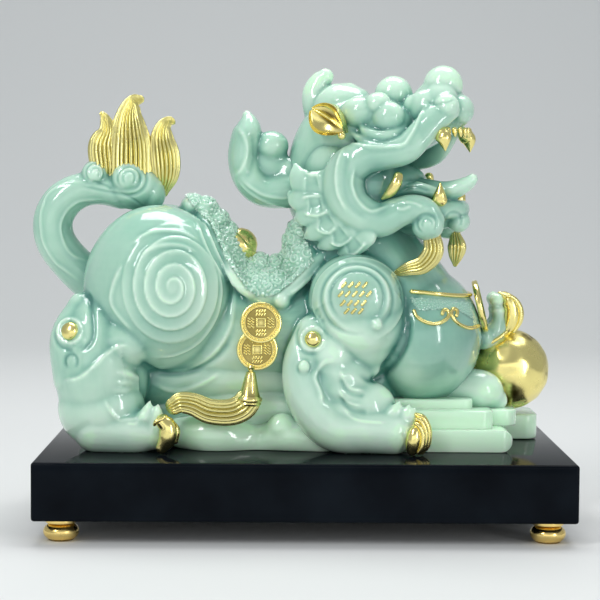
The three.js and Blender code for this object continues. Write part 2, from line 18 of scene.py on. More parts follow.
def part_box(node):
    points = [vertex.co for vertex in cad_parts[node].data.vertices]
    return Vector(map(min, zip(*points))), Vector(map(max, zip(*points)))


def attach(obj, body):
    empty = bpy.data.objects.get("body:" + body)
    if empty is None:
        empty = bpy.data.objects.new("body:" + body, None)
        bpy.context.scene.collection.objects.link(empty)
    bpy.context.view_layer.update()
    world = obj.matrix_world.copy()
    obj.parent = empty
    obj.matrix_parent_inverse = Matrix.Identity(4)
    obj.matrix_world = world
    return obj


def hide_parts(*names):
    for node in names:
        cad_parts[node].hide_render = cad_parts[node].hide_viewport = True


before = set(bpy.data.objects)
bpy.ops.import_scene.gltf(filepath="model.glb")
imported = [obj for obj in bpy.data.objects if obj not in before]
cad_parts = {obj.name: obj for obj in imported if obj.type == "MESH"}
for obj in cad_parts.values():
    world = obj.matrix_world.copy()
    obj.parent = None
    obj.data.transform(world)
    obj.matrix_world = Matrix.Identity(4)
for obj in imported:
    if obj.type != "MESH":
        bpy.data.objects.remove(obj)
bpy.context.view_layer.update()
plinth_low, plinth_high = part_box("plinth")
MM = 0.001
STAND = Vector(((plinth_low[0] + plinth_high[0]) / 2, 0.0, plinth_high[2]))
SIDES = (-1, 1)
print("nodes:", sorted(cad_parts))
print("middle of the plinth's top, metres:", [round(part, 4) for part in STAND])

# %% [markdown]
# ## The camera
# The plinth's corners in the photograph fix the view: a long lens about a metre away, turned a
# little to the right and tipped a little down. Setting it first means every later look is
# through the same window as the photograph.

# %% Camera
CAMERA_PLACE = (-13.35, -1080.9, 153.3)
CAMERA_TURN = math.radians(0.557)
CAMERA_TIP = math.radians(-3.668)
CAMERA_ROLL = math.radians(0.405)
FOCAL_PIXELS = 1832
PHOTO_PIXELS = 600
SENSOR = 36.0

camera_data = bpy.data.cameras.new("camera")
camera_data.sensor_width = SENSOR
camera_data.lens = FOCAL_PIXELS / PHOTO_PIXELS * SENSOR
camera = bpy.data.objects.new("camera", camera_data)
bpy.context.collection.objects.link(camera)
aim = Matrix.Rotation(-CAMERA_TURN, 4, "Z") @ Matrix.Rotation(math.pi / 2 + CAMERA_TIP, 4, "X")
aim = aim @ Matrix.Rotation(CAMERA_ROLL, 4, "Z")
camera.matrix_world = Matrix.Translation(STAND + Vector(CAMERA_PLACE) * MM) @ aim
bpy.context.scene.camera = camera
print("lens, mm:", round(camera_data.lens, 1))

# %% [markdown]
# ## Clay balls and rolls
# Nearly every form on the beast is a ball drawn out to three radii, or a roll that runs along a
# bent spine and swells and thins on its way. Both start as Blender's UV sphere. Work is done in
# millimetres from the middle of the plinth's top, and each finished piece is shrunk to metres.

# %% Select, read and move


def deselect():
    bpy.ops.object.select_all(action="DESELECT")


def pick(piece):
    """Makes a piece the only one selected, and the active one."""
    deselect()
    piece.select_set(True)
    bpy.context.view_layer.objects.active = piece


def in_edit_mode(piece, *steps):
    """Runs mesh operators, each with its settings, on all of a piece."""
    pick(piece)
    bpy.ops.object.mode_set(mode="EDIT")
    for operator, settings in steps:
        bpy.ops.mesh.select_all(action="SELECT")
        operator(**settings)
    bpy.ops.object.mode_set(mode="OBJECT")


def select_edges(piece, wanted):
    """Opens edit mode with only those edges selected whose two ends pass a test."""
    pick(piece)
    bpy.ops.object.mode_set(mode="EDIT")
    bpy.ops.mesh.select_all(action="DESELECT")
    bpy.ops.object.mode_set(mode="OBJECT")
    for edge in piece.data.edges:
        edge.select = wanted(*(piece.data.vertices[v].co for v in edge.vertices))
    bpy.ops.object.mode_set(mode="EDIT")
    bpy.ops.mesh.select_mode(type="EDGE")


def vertex_values(piece, what):
    """The places or the normals of a piece's vertices, a row for each."""
    found = np.empty(len(piece.data.vertices) * 3)
    piece.data.vertices.foreach_get(what, found)
    return found.reshape(-1, 3)


def places(piece):
    return vertex_values(piece, "co")


def normals(piece):
    return vertex_values(piece, "normal")


def put(piece, where):
    """Moves a piece's vertices to new places."""
    piece.data.vertices.foreach_set("co", np.ascontiguousarray(where).ravel())
    piece.data.update()


# %% Ball


def ball(place, radii, tilt=0.0, sides=40):
    """A sphere drawn out to three radii, tilted in degrees about the Y axis."""
    deselect()
    bpy.ops.mesh.primitive_uv_sphere_add(
        segments=sides, ring_count=sides // 2, radius=1, location=place,
        rotation=(0, math.radians(tilt), 0), scale=radii,
    )
    made = bpy.context.object
    bpy.ops.object.transform_apply(location=True, rotation=True, scale=True)
    return made


# %% Roll
SAMPLES = 24
STRAND_SIDES = 8
NUDGE = 0.01


def smooth_path(points, share):
    """Where a curve through the points, with their radii, is after a share of its length."""
    points = np.array(points, float)
    padded = np.vstack([2 * points[0] - points[1], points, 2 * points[-1] - points[-2]])
    fine = np.linspace(0, len(points) - 1, SAMPLES * len(points))
    step = np.minimum(fine.astype(int), len(points) - 2)
    t = (fine - step)[:, None]
    p0, p1, p2, p3 = (padded[step + i] for i in range(4))
    curve = p1 + 0.5 * t * (p2 - p0)
    curve += t**2 * (p0 - 2.5 * p1 + 2 * p2 - 0.5 * p3) + t**3 * (1.5 * (p1 - p2) + 0.5 * (p3 - p0))
    gaps = np.linalg.norm(np.diff(curve[:, :3], axis=0), axis=1)
    along = np.concatenate([[0], np.cumsum(gaps)])
    wanted = np.clip(share, 0, 1) * along[-1]
    found = np.stack([np.interp(wanted, along, curve[:, k]) for k in range(4)], axis=1)
    return found, along[-1]


def roll(points, flat=1.0, sides=24, rings=36, strands=0, depth=0.09, side=(0, 1, 0)):
    """A sphere laid along a spine of (x, y, z, radius). flat squeezes or widens it along side,
    and strands scallops its section to a depth."""
    deselect()
    segments = strands * STRAND_SIDES if strands else sides
    bpy.ops.mesh.primitive_uv_sphere_add(segments=segments, ring_count=rings, radius=1)
    made = bpy.context.object
    unit = places(made)
    _, length = smooth_path(points, np.array([0.0]))
    first, last = points[0][3], points[-1][3]
    travel = np.arccos(np.clip(unit[:, 2], -1, 1)) / math.pi * (length + first + last) - first
    share = travel / length
    found, _ = smooth_path(points, share)
    before, _ = smooth_path(points, np.clip(share, 0, 1) - NUDGE)
    after, _ = smooth_path(points, np.clip(share, 0, 1) + NUDGE)
    along = after[:, :3] - before[:, :3]
    along /= np.linalg.norm(along, axis=1)[:, None]
    across = np.array(side, float) - along * (along @ np.array(side, float))[:, None]
    across /= np.linalg.norm(across, axis=1)[:, None]
    normal = np.cross(along, across)
    past = np.where(travel < 0, travel, np.maximum(travel - length, 0))
    end = np.where(travel < 0, first, last)
    cap = np.sqrt(np.clip(1 - (past / end) ** 2, 0, 1))
    angle = np.arctan2(unit[:, 1], unit[:, 0])
    radius = found[:, 3] * cap
    if strands:
        radius = radius * (1 + depth * np.abs(np.sin(strands * angle / 2)) - depth / 2)
    place = found[:, :3] + along * past[:, None]
    place += normal * (radius * np.cos(angle))[:, None]
    place += across * (radius * np.sin(angle) * flat)[:, None]
    put(made, place)
    return made


def join(name, forms):
    """Several forms as one object with one mesh."""
    deselect()
    for form in forms:
        form.select_set(True)
    bpy.context.view_layer.objects.active = forms[0]
    if len(forms) > 1:
        bpy.ops.object.join()
    forms[0].name = name
    forms[0].data.name = name
    print(name, "vertices:", len(forms[0].data.vertices))
    return forms[0]


# %% [markdown]
# ## Casting
# Overlapping forms are no skin yet. The voxel Remesh modifier keeps only what shows from
# outside, as a mould does, and a few rounds of Smooth melt the joints. Boolean unions would
# leave every joint sharp. A small voxel keeps small forms but costs faces, so the head gets a
# finer one than the body.

# %% Casting helpers
FADE = 1.5
LEAST_WEIGHT = 0.03


def apply_modifier(piece, kind, **settings):
    """Adds a modifier with its settings, and applies it at once."""
    pick(piece)
    modifier = piece.modifiers.new(kind.lower(), kind)
    for key, value in settings.items():
        setattr(modifier, key, value)
    bpy.ops.object.modifier_apply(modifier=modifier.name)


def cast(name, forms, voxel, melt):
    """One closed skin over all the forms."""
    piece = join(name, forms)
    apply_modifier(piece, "REMESH", mode="VOXEL", voxel_size=voxel)
    apply_modifier(piece, "SMOOTH", factor=0.5, iterations=melt)
    print(name, "faces after casting:", len(piece.data.polygons))
    return piece


def soften(piece, spots, rounds):
    """Smooths a piece round some spots, each a place and a reach: fully in the inner third,
    less and less towards the reach."""
    where = places(piece)
    weight = np.zeros(len(where))
    for spot, reach in spots:
        gap = np.linalg.norm(where - np.array(spot), axis=1)
        weight = np.maximum(weight, np.clip(FADE * (1 - gap / reach), 0, 1))
    group = piece.vertex_groups.new(name="soften")
    for i in np.nonzero(weight > LEAST_WEIGHT)[0]:
        group.add([int(i)], float(weight[i]), "REPLACE")
    apply_modifier(piece, "SMOOTH", factor=0.5, iterations=rounds, vertex_group=group.name)
    piece.vertex_groups.clear()


# %% [markdown]
# ## Body, haunches and legs
# The trunk is a fat roll from rump to chest. Haunches and shoulders are big eggs pressed on its
# flanks, mirrored for the far side. The forms and sizes are those of the solid model, so the
# casting fills the same space.

# %% Trunk, haunches and shoulders
HAUNCH = (-85, 25, 92)
HAUNCH_RADII = (43, 37, 48)
LEG_OFFSET = 40


def trunk():
    """Rump, belly, chest and neck, down to the ground between the legs."""
    return [
        roll([(-84, 0, 72, 40), (-28, 0, 66, 41), (30, 0, 64, 41)], sides=48),
        ball((-71, 0, 95), (41, 32, 44)),
        ball((67, 0, 63.5), (37.5, 48, 41.5), sides=64),
        roll([(50, 0, 78, 42), (29, 0, 120, 34), (25, 0, 158, 31)], sides=48),
        roll([(-90, 0, 20, 19), (-30, 0, 24, 25), (34, 0, 22, 21)], flat=1.4, sides=48),
        roll([(-92, 0, 40, 28), (-30, 0, 43, 32), (34, 0, 43, 31)], flat=1.1, sides=48),
    ]


def haunch(side):
    """The big egg that carries the spiral."""
    return [ball((HAUNCH[0], side * HAUNCH[1], HAUNCH[2]), HAUNCH_RADII, sides=64)]


def shoulder(side):
    """The upper foreleg, swollen where the disc is, with a small knob by its edge."""
    y = side * LEG_OFFSET
    return [
        roll([(28, y * 0.9, 87, 26.5), (33, y, 68, 23.5), (35, y * 1.02, 57, 15), (36, y * 1.02, 49, 7)],
             flat=0.92, sides=48, rings=56),
        ball((29, side * 44, 87), (25, 19, 23)),
        ball((39.5, side * 60, 74.5), (3.2, 3.2, 3.2)),
    ]


# %% Hind legs
SHANK_FOLDS = (
    ((-106, 1.36, 46.5, 2.2), (-101, 1.27, 44.5, 2.8), (-96, 1.12, 41.5, 2.2)),
    ((-108, 1.38, 41, 2.0), (-102, 1.29, 40, 2.6), (-96, 1.12, 38.6, 2.0)),
    ((-108, 1.38, 36, 1.8), (-102, 1.29, 36, 2.3), (-95.5, 1.12, 35.8, 1.8)),
    ((-106, 1.36, 31, 2.0), (-101, 1.27, 32, 2.3), (-96, 1.12, 33, 1.7)),
    ((-105, 1.33, 26, 2.4), (-100, 1.25, 28, 2.5), (-96, 1.12, 30.4, 1.8)),
)
TOE_TUFTS = (
    ((-90, 1.3, 21, 5), (-88.5, 1.33, 26, 2.8), (-87.5, 1.35, 30, 0.8)),
    ((-84, 1.33, 20, 4.5), (-83.2, 1.36, 25, 2.6), (-82.8, 1.37, 28.4, 0.8)),
)


def hind_leg(side):
    """A folded leg, with short folds before the shank and tufts over the toes. The tables give
    their places across as shares of the leg's own."""
    y = side * LEG_OFFSET
    forms = [
        roll([(-128, y * 0.9, 82, 8), (-132.5, y, 64, 13), (-129, y, 42, 15)]),
        ball((-119, y * 0.95, 46), (24, 22, 43)),
        ball((-116, y * 1.02, 24), (25, 18, 23)),
        roll([(-117, y * 1.05, 14, 16), (-98, y * 1.1, 12, 14), (-86, y * 1.15, 12, 11)]),
        ball((-106, y * 1.0, 63), (22, 17, 17)),
        ball((-104, y * 0.8, 41), (14, 14.5, 26)),
    ]
    for spine in (*SHANK_FOLDS, *TOE_TUFTS):
        forms.append(roll([(x, y * across, z, radius) for x, across, z, radius in spine]))
    return forms + [
        ball((-83, y * 1.3, 16), (7, 6, 7)),
        ball((-131, y * 1.3, 52), (4.2, 3, 4.2)),
    ]


# %% Forelegs
WRIST_FOLDS = (
    ((12, -52, 48, 5), (20, -52.8, 44.5, 5.4), (28, -51.4, 42, 5), (35, -47.4, 40.5, 3)),
    ((13, -52, 38, 5), (21, -53.2, 35.5, 5.4), (29, -52.8, 33.6, 5), (37, -49.4, 32.8, 2.6)),
    ((14, -53, 27, 5), (23, -53.8, 24.8, 5.2), (33, -53.8, 23.6, 4.6), (43, -52.4, 23, 2.4)),
)
CLAW_TUFTS = (
    ((45, -51, 17, 8), (50.5, -53, 24, 5), (53.4, -54, 30.8, 0.8)),
    ((54, -52, 17, 6.5), (57, -54, 23.5, 3.8), (58.7, -55, 29.2, 0.7)),
    ((59, -53, 18, 4.5), (61, -54.5, 23, 2.6), (62, -55, 27, 0.7)),
)


def fore_leg():
    """The planted leg on the near side."""
    return [
        roll([(5, -43, 68, 11), (-0.5, -45, 50, 12.5), (3, -46, 32, 14), (16, -47, 16, 14.5),
              (36, -48, 14, 14), (50, -49, 12.5, 13)], sides=32, rings=60),
        ball((13, -42, 55), (18, 15.5, 20)),
        ball((18, -42, 40), (21, 15.5, 20)),
        ball((32, -43, 26), (20, 15.5, 16)),
        *(roll(spine) for spine in (*WRIST_FOLDS, *CLAW_TUFTS)),
        ball((57, -51, 19), (6.5, 6.5, 9)),
        ball((-1, -57, 50.5), (4.2, 3, 4.2)),
    ]


def reaching_leg():
    """The raised leg on the far side, with its hand of three fingers over the ball."""
    forms = [
        roll([(38, 44, 76, 19), (72, 44, 60, 15), (98, 34, 58, 12), (111, 18, 60, 7.5)], sides=32),
        roll([(107, 6, 61.5, 7), (110, 16, 63.5, 7.5), (107, 26, 61.5, 7)], side=(1, 0, 0)),
    ]
    for finger in (-1, 0, 1):
        y = 16 + finger * 9
        forms.append(ball((114.4, y, 84.2), (4.4, 4.4, 4.4)))
        forms.append(ball((115.4, y, 77.8), (4.2, 4.2, 3.8)))
        forms.append(roll([(115.2, y, 78, 3.6), (115.6, y, 73, 3.8), (114, y, 67, 5.4), (110, y, 61, 6)]))
        forms.append(roll([(108, y, 62, 6), (114, y, 65.5, 6.4), (119, y, 68.5, 4)], flat=0.85))
    return forms


# %% Ground of the saddle cloth
CREST = ((-66.8, 140, 7), (-59, 138, 7.4), (-52.5, 131, 7.6), (-46.5, 124, 7), (-27, 104.5, 8),
         (-16.5, 103.5, 8), (-6, 112, 8), (-4.5, 120, 8.5), (-1, 127, 9))


def saddle_ground():
    """The bank under the cloth: its crest along the back, then hem, front edge and corners."""
    forms = [ball((x, 0, z - 1), (r, r * 2.1, r)) for x, z, r in CREST]
    for side in SIDES:
        forms.append(roll([(-66, 0, 138, 3.4), (-57, side * 20, 129, 3.4),
                           (-47, side * 34, 110, 3.2), (-38, side * 40, 95, 3.2),
                           (-31, side * 37, 89.5, 3.4)]))
        forms.append(roll([(17, side * 20, 118, 2), (8, side * 26, 109, 4), (-3, side * 32, 98, 4),
                           (-12, side * 36, 89, 4.4)]))
        forms.append(ball((0, side * 16, 105), (12, 15, 14)))
        forms.append(ball((-14, side * 37, 86.5), (5.4, 5, 5.4)))
        forms.append(ball((-31, side * 36, 90.5), (4, 4, 4)))
        forms.append(ball((-22, side * 15, 88), (24, 25, 15)))
    return forms


# %% Cast the body
BODY_VOXEL = 1.05
BODY_MELT = 5
body_forms = trunk() + fore_leg() + reaching_leg() + saddle_ground()
for side in SIDES:
    body_forms += haunch(side) + hind_leg(side) + shoulder(side)
body = cast("jade_body", body_forms, BODY_VOXEL, BODY_MELT)
soften(body, (((24, -53, 39), 19), ((38, -50, 31), 10)), rounds=50)

# %% [markdown]
# ## Pixels as a ruler
# Much of the relief is placed on the photograph. A pixel gives a straight sight line from the camera, and
# where that line meets the clay is where the tool cuts, so the cut lies on the real surface from every
# side.

# %% Sight lines
CURVE_SPACING = 0.6


def sight(u, v):
    """The way the camera looks through a pixel of the 600 by 600 picture."""
    middle = PHOTO_PIXELS / 2
    through = Vector(((u - middle) / FOCAL_PIXELS, (middle - v) / FOCAL_PIXELS, -1))
    return (aim.to_3x3() @ through).normalized()


def on_skin(tree, u, v):
    """Where a pixel's sight line meets the skin, and the way the skin faces there."""
    place, facing, _, _ = tree.ray_cast(Vector(CAMERA_PLACE), sight(u, v))
    return (place, facing) if place else None


def skin_of(*pieces):
    """A tree for looking up places on the skins of several pieces."""
    corners, faces = [], []
    for piece in pieces:
        faces += [[v + len(corners) for v in face.vertices] for face in piece.data.polygons]
        corners += places(piece).tolist()
    return BVHTree.FromPolygons(corners, faces)


def through(pixels):
    """A smooth curve through pixels, as evenly spaced pixels."""
    path = [(u, v, 0, 0) for u, v in pixels]
    _, length = smooth_path(path, np.array([0.0]))
    found, _ = smooth_path(path, np.linspace(0, 1, max(int(length / CURVE_SPACING), 4)))
    return found[:, :2]


def lay(tree, pixels, mirror=None):
    """The curve through the pixels, laid on the skin. mirror flips it to the far side."""
    hits = [hit for hit in (on_skin(tree, u, v) for u, v in through(pixels)) if hit]
    if mirror:
        flipped = [mirror @ place for place, _ in hits]
        hits = [tree.find_nearest(place)[:2] for place in flipped]
    return np.array([place for place, _ in hits]), np.array([facing for _, facing in hits])


def ring(u, v, across, tall, start=0, end=360):
    """Pixels of an arc round (u, v), from start to end in degrees against the clock."""
    turns = [math.radians(degrees) for degrees in np.arange(start, end + 1, 15)]
    return [(u + across * math.cos(turn), v - tall * math.sin(turn)) for turn in turns]


print("the camera looks along:", [round(part, 3) for part in sight(PHOTO_PIXELS / 2, PHOTO_PIXELS / 2)])

# %% [markdown]
# ## Carving tools
# Three tools are enough. A gouge cuts a groove, a fine roll of clay raises a ridge, and a knife
# held flat leaves a terrace: full height along the line, running out on its left side. A bump
# texture would only pretend to be relief, and a sculpting brush needs a hand. So each tool moves
# the vertices near its line along their normals, and the mesh itself carries the relief.

# %% Carving tools
GROOVE = "groove"
RIDGE = "ridge"
TERRACE = "terrace"
RUN_OUT = 0.12
SHALLOW_END = 0.15
KNIFE_EDGE = 0.5
KNIFE_END = 1.5
BODY_MIRROR = Matrix.Diagonal((1, -1, 1, 1))


def carve_line(where, out, lift, path, facing, tool, depth, width):
    """Adds one line's height to lift. The line runs out at both its ends."""
    if len(path) < 3:
        return
    reach = width * 4
    near = ((where > path.min(axis=0) - reach) & (where < path.max(axis=0) + reach)).all(axis=1)
    near = np.nonzero(near)[0]
    if len(near) == 0:
        return
    gaps = np.linalg.norm(where[near, None] - path[None], axis=2)
    closest = gaps.argmin(axis=1)
    gap = gaps[np.arange(len(near)), closest]
    share = closest / (len(path) - 1)
    ends = np.clip(np.minimum(share, 1 - share) / RUN_OUT, 0, 1)
    same_side = np.clip((out[near] * facing[closest]).sum(axis=1) * 2, 0, 1)
    weight = (SHALLOW_END + (1 - SHALLOW_END) * ends) * same_side
    if tool == TERRACE:
        along = np.gradient(path, axis=0)[closest]
        left = np.cross(facing[closest], along)
        left /= np.linalg.norm(left, axis=1)[:, None] + 1e-9
        off = ((where[near] - path[closest]) * left).sum(axis=1)
        height = (0.5 + 0.5 * np.tanh(off / KNIFE_EDGE)) * np.exp(-np.maximum(off, 0) / width)
        height *= np.exp(-(np.maximum(gap - np.abs(off), 0) / KNIFE_END) ** 2)
    else:
        height = np.exp(-((gap / width) ** 2)) * (-1 if tool == GROOVE else 1)
    lift[near] += depth * height * weight


def carve(piece, lines, mirror=None):
    """Cuts every line, a (tool, depth, width, pixels), and its mirror image on the far side."""
    tree = skin_of(piece)
    where, out = places(piece), normals(piece)
    lift = np.zeros(len(where))
    for tool, depth, width, pixels in lines.values():
        carve_line(where, out, lift, *lay(tree, pixels), tool, depth, width)
        if mirror:
            path, facing = lay(tree, pixels, mirror)
            if tool == TERRACE:
                path, facing = path[::-1], facing[::-1]
            carve_line(where, out, lift, path, facing, tool, depth, width)
    put(piece, where + out * lift[:, None])
    apply_modifier(piece, "SMOOTH", factor=0.4, iterations=1)
    print(piece.name, "lines carved:", len(lines))


# %% [markdown]
# ## Carving the body
# The snail spiral on the haunch is a terrace: it rises slowly and drops at a crisp line, and
# every turn is as wide as the last, so the distance from its middle grows evenly with the angle.
# The other lines are drawn on the photograph: the arcs round the spiral, the rings of knee and
# shoulder, the folds of the legs and the hem of the cloth.

# %% Spirals of the body
SPIRAL_MIDDLE = (-74.6, 30, 94.5)
SPIRAL_INNER = 2
SPIRAL_OUTER = 32
SPIRAL_STRETCH = 1.2
SPIRAL_PHASE = 0.28
SPIRAL_HEIGHT = 1.0
SPIRAL_PITCH = 6.3
SPIRAL_SUNK = 0.3
RISE_POWER = 2.5
DROP = 0.88


def carve_spiral(piece, side):
    """A terrace that winds outwards, with the clock as the near side shows it."""
    where = places(piece)
    out = normals(piece)
    dx = where[:, 0] - SPIRAL_MIDDLE[0]
    dz = (where[:, 2] - SPIRAL_MIDDLE[2]) / SPIRAL_STRETCH
    reach = np.hypot(dx, dz)
    angle = np.arctan2(dz, dx)
    turns = (reach - SPIRAL_INNER) / SPIRAL_PITCH
    level = np.mod(turns + angle / (2 * math.pi) + SPIRAL_PHASE, 1.0)
    terrace = np.where(level < DROP, (level / DROP) ** RISE_POWER, (1 - level) / (1 - DROP))
    fade = np.clip((SPIRAL_OUTER - reach) / (0.3 * SPIRAL_OUTER), 0, 1)
    fade *= np.clip((reach - SPIRAL_INNER) / 2, 0, 1)
    facing = np.clip((out[:, 1] * side - 0.05) / 0.3, 0, 1)
    near = (where[:, 1] * side > SPIRAL_MIDDLE[1]).astype(float)
    lift = SPIRAL_HEIGHT * (terrace - SPIRAL_SUNK) * fade * facing * near
    put(piece, where + out * lift[:, None])
    print("spiral, most and least lift in mm:", round(float(lift.max()), 2), round(float(lift.min()), 2))


for side in SIDES:
    carve_spiral(body, side)

# %% Lines of the body
KNEE_BEAD = (70, 331)
ELBOW_BEAD = (313, 339)
SHANK = ((128, 346), (119, 345), (106, 353), (96, 363), (85, 373), (76, 378), (66, 379))
BOTH_SIDES = {
    "edge of the knee": (GROOVE, 1.4, 1.8, ((88, 292), (92, 312), (93, 334), (88, 345), (79, 350))),
    "lip under the knee": (RIDGE, 0.8, 1.2, ((87, 338), (82, 347), (71, 350))),
    "ring round the knee bead": (RIDGE, 1.2, 1.0, ring(*KNEE_BEAD, 12, 12)),
    "outer ring of the knee": (GROOVE, 0.8, 1.2, ring(71, 333, 17, 17, 170, 350)),
    "step of the shank": (TERRACE, 1.3, 8.0, SHANK),
    "edge of the shank": (RIDGE, 0.6, 1.1, SHANK),
    "curl below the knee bead": (GROOVE, 0.9, 1.1, ring(71, 361, 6, 7, -60, 240)),
    "upper toe line": (RIDGE, 0.6, 0.9, ((105, 400), (111, 412), (119, 420), (127, 419.5), (135, 419),
        (138, 414))),
    "lower toe line": (RIDGE, 0.6, 0.9, ((126, 423), (135, 424), (139, 419), (143, 413))),
    "crease under the haunch": (GROOVE, 1.2, 2.0, ((138, 359), (156, 370), (176, 373), (197, 368),
        (214, 359), (226, 346), (231, 333))),
    "fold of the flank": (RIDGE, 0.8, 1.4, ((156, 384), (168, 390), (182, 391), (200, 385), (220, 373))),
    "outer arc over the haunch": (RIDGE, 0.8, 1.1, ((132, 243), (144, 235), (157, 231), (180, 232),
        (198, 240))),
    "inner arc over the haunch": (RIDGE, 0.8, 1.1, ((140, 256), (150, 249), (165, 245), (182, 246),
        (196, 252))),
    "arc behind the spiral": (RIDGE, 0.8, 1.3, ((121, 266), (113, 286), (111, 300), (116, 312),
        (132, 331))),
    "outer arc before the spiral": (RIDGE, 0.8, 1.1, ((229, 268), (233, 285), (234, 302), (229, 330),
        (213, 354), (189, 369), (161, 372))),
    "inner arc before the spiral": (RIDGE, 0.8, 1.1, ((214, 262), (220, 280), (221, 297), (215, 320),
        (199, 342), (178, 354), (154, 358))),
    "rim of the disc": (TERRACE, 1.5, 7.0, ring(358, 301, 45, 43, -60, 250)),
    "outer groove of the disc": (GROOVE, 0.9, 1.1, ring(357, 299, 36, 35, -50, 290)),
    "ring of the disc": (RIDGE, 0.9, 1.2, ring(357, 298, 31, 30, -50, 250)),
    "inner groove of the disc": (GROOVE, 0.7, 1.0, ring(357, 297, 27, 26, -40, 230)),
    "crease under the shoulder": (GROOVE, 1.5, 2.0, ((409, 314), (407, 340), (396, 361), (383, 374),
        (371, 380), (359, 375))),
    "outer hem of the cloth": (RIDGE, 1.3, 1.1, ((204, 222), (211, 240), (220, 260), (230, 277),
        (240, 291))),
    "inner hem of the cloth": (RIDGE, 1.0, 1.0, ((197, 222), (204, 242), (213, 261), (224, 279))),
    "front hem of the cloth": (RIDGE, 1.4, 1.3, ((321, 264), (313, 274), (302, 285), (290, 294))),
}
NEAR_LEG = {
    "hollow of the elbow": (RIDGE, 1.0, 1.3, ((322, 404), (320, 392), (315, 379), (317, 371),
        (325, 362), (334, 361))),
    "ring round the elbow bead": (RIDGE, 1.1, 1.0, ring(*ELBOW_BEAD, 11.5, 11.5)),
    "outer ring of the elbow": (GROOVE, 0.8, 1.3, ((300, 325), (296, 334), (299, 347), (307, 353),
        (318, 352))),
    "curl below the elbow bead": (GROOVE, 0.9, 1.1, ring(304, 367, 7, 8, -60, 240)),
    "upper wrist fold": (RIDGE, 0.7, 0.9, ((340, 370), (344, 380), (350, 388), (364, 391))),
    "lower wrist fold": (RIDGE, 0.7, 0.9, ((339, 389), (343, 397), (349, 403), (361, 406))),
    "groove under the upper fold": (GROOVE, 0.9, 1.7, ((341, 377), (345, 387), (352, 394), (366, 396))),
    "groove under the lower fold": (GROOVE, 0.9, 1.7, ((341, 396), (346, 405), (354, 411), (368, 412))),
    "edge of the toes": (RIDGE, 0.6, 0.9, ((344, 408), (351, 417), (361, 421), (375, 422.5), (385, 423))),
    "groove behind the claw": (GROOVE, 0.8, 1.3, ((402, 432), (405, 442), (401, 453))),
}
carve(body, BOTH_SIDES, BODY_MIRROR)
carve(body, NEAR_LEG)

# %% [markdown]
# ## Head
# The head turns about a quarter of a right angle towards the viewer, so it is modelled straight,
# in its own frame, and turned as the last step. Lip and cheek are one long roll that runs from
# the nostril back round the corner of the mouth and forward to the chin.

# %% Skull
HEAD_FRAME = Matrix.Translation((26, 0, 172.6)) @ Matrix.Rotation(math.radians(-22), 4, "Z")
HEAD_MIRROR = HEAD_FRAME @ BODY_MIRROR @ HEAD_FRAME.inverted()


def turn_head(piece):
    """From the head's own frame to the beast's."""
    piece.data.transform(HEAD_FRAME)
    return piece


def skull():
    """Crown and neck, horn, upper and lower jaw, brow, nose, chin, throat and tongue."""
    return [
        ball((1, 0, 4.5), (29, 27, 29.5), sides=48),
        roll([(-4, 0, 20, 20), (-7, 0, 6, 26), (-9, 0, -10, 29), (-9, 0, -26, 29)], flat=0.92, sides=48),
        roll([(-17, 0, 20, 11.5), (-21.5, 0, 32, 8.8), (-19, 0, 39.5, 7), (-15.6, 0, 43.4, 4.8)]),
        roll([(4, 0, 2, 26), (31, 0, 12, 17.5), (58, 0, 19.5, 11.5)], sides=32),
        roll([(18, 0, 2, 12), (42, 0, 9.5, 10.5), (58, 0, 16.5, 8.5)], flat=1.9),
        roll([(4, 0, -32, 24), (28, 0, -38, 15), (50, 0, -38, 9), (60, 0, -37, 8)], sides=32),
        roll([(20, 0, -38, 11), (42, 0, -37, 9), (60, 0, -36, 6.5)], flat=2),
        ball((26.6, 0, 31.8), (11.3, 11, 11.3)),
        ball((19, 0, 23), (18, 18, 10)),
        ball((56.6, 0, 37), (11.6, 11, 11.6)),
        roll([(56, 0, 35, 11), (51, 0, 27, 12.5), (44, 0, 18, 13)]),
        ball((40, 0, 26), (6, 13, 6)),
        ball((67, 0, 23), (8, 10, 9)),
        ball((67, 0, -41), (6.5, 8, 6.5)),
        roll([(57, -17, -35, 5.5), (65, -8, -34, 5.5), (67, 0, -34, 5.5), (65, 8, -34, 5.5),
              (57, 17, -35, 5.5)], side=(0, 0, 1)),
        ball((28, 0, -20), (19, 22, 13)),
        roll([(30, 0, -24, 9), (48, -5, -23.5, 7), (60, -7, -23.5, 5.6), (68, -7.5, -22, 5.2),
              (74, -6.5, -19, 4.2), (77, -6, -16.2, 3.0)], flat=1.3, rings=48),
    ]


# %% Each side of the face


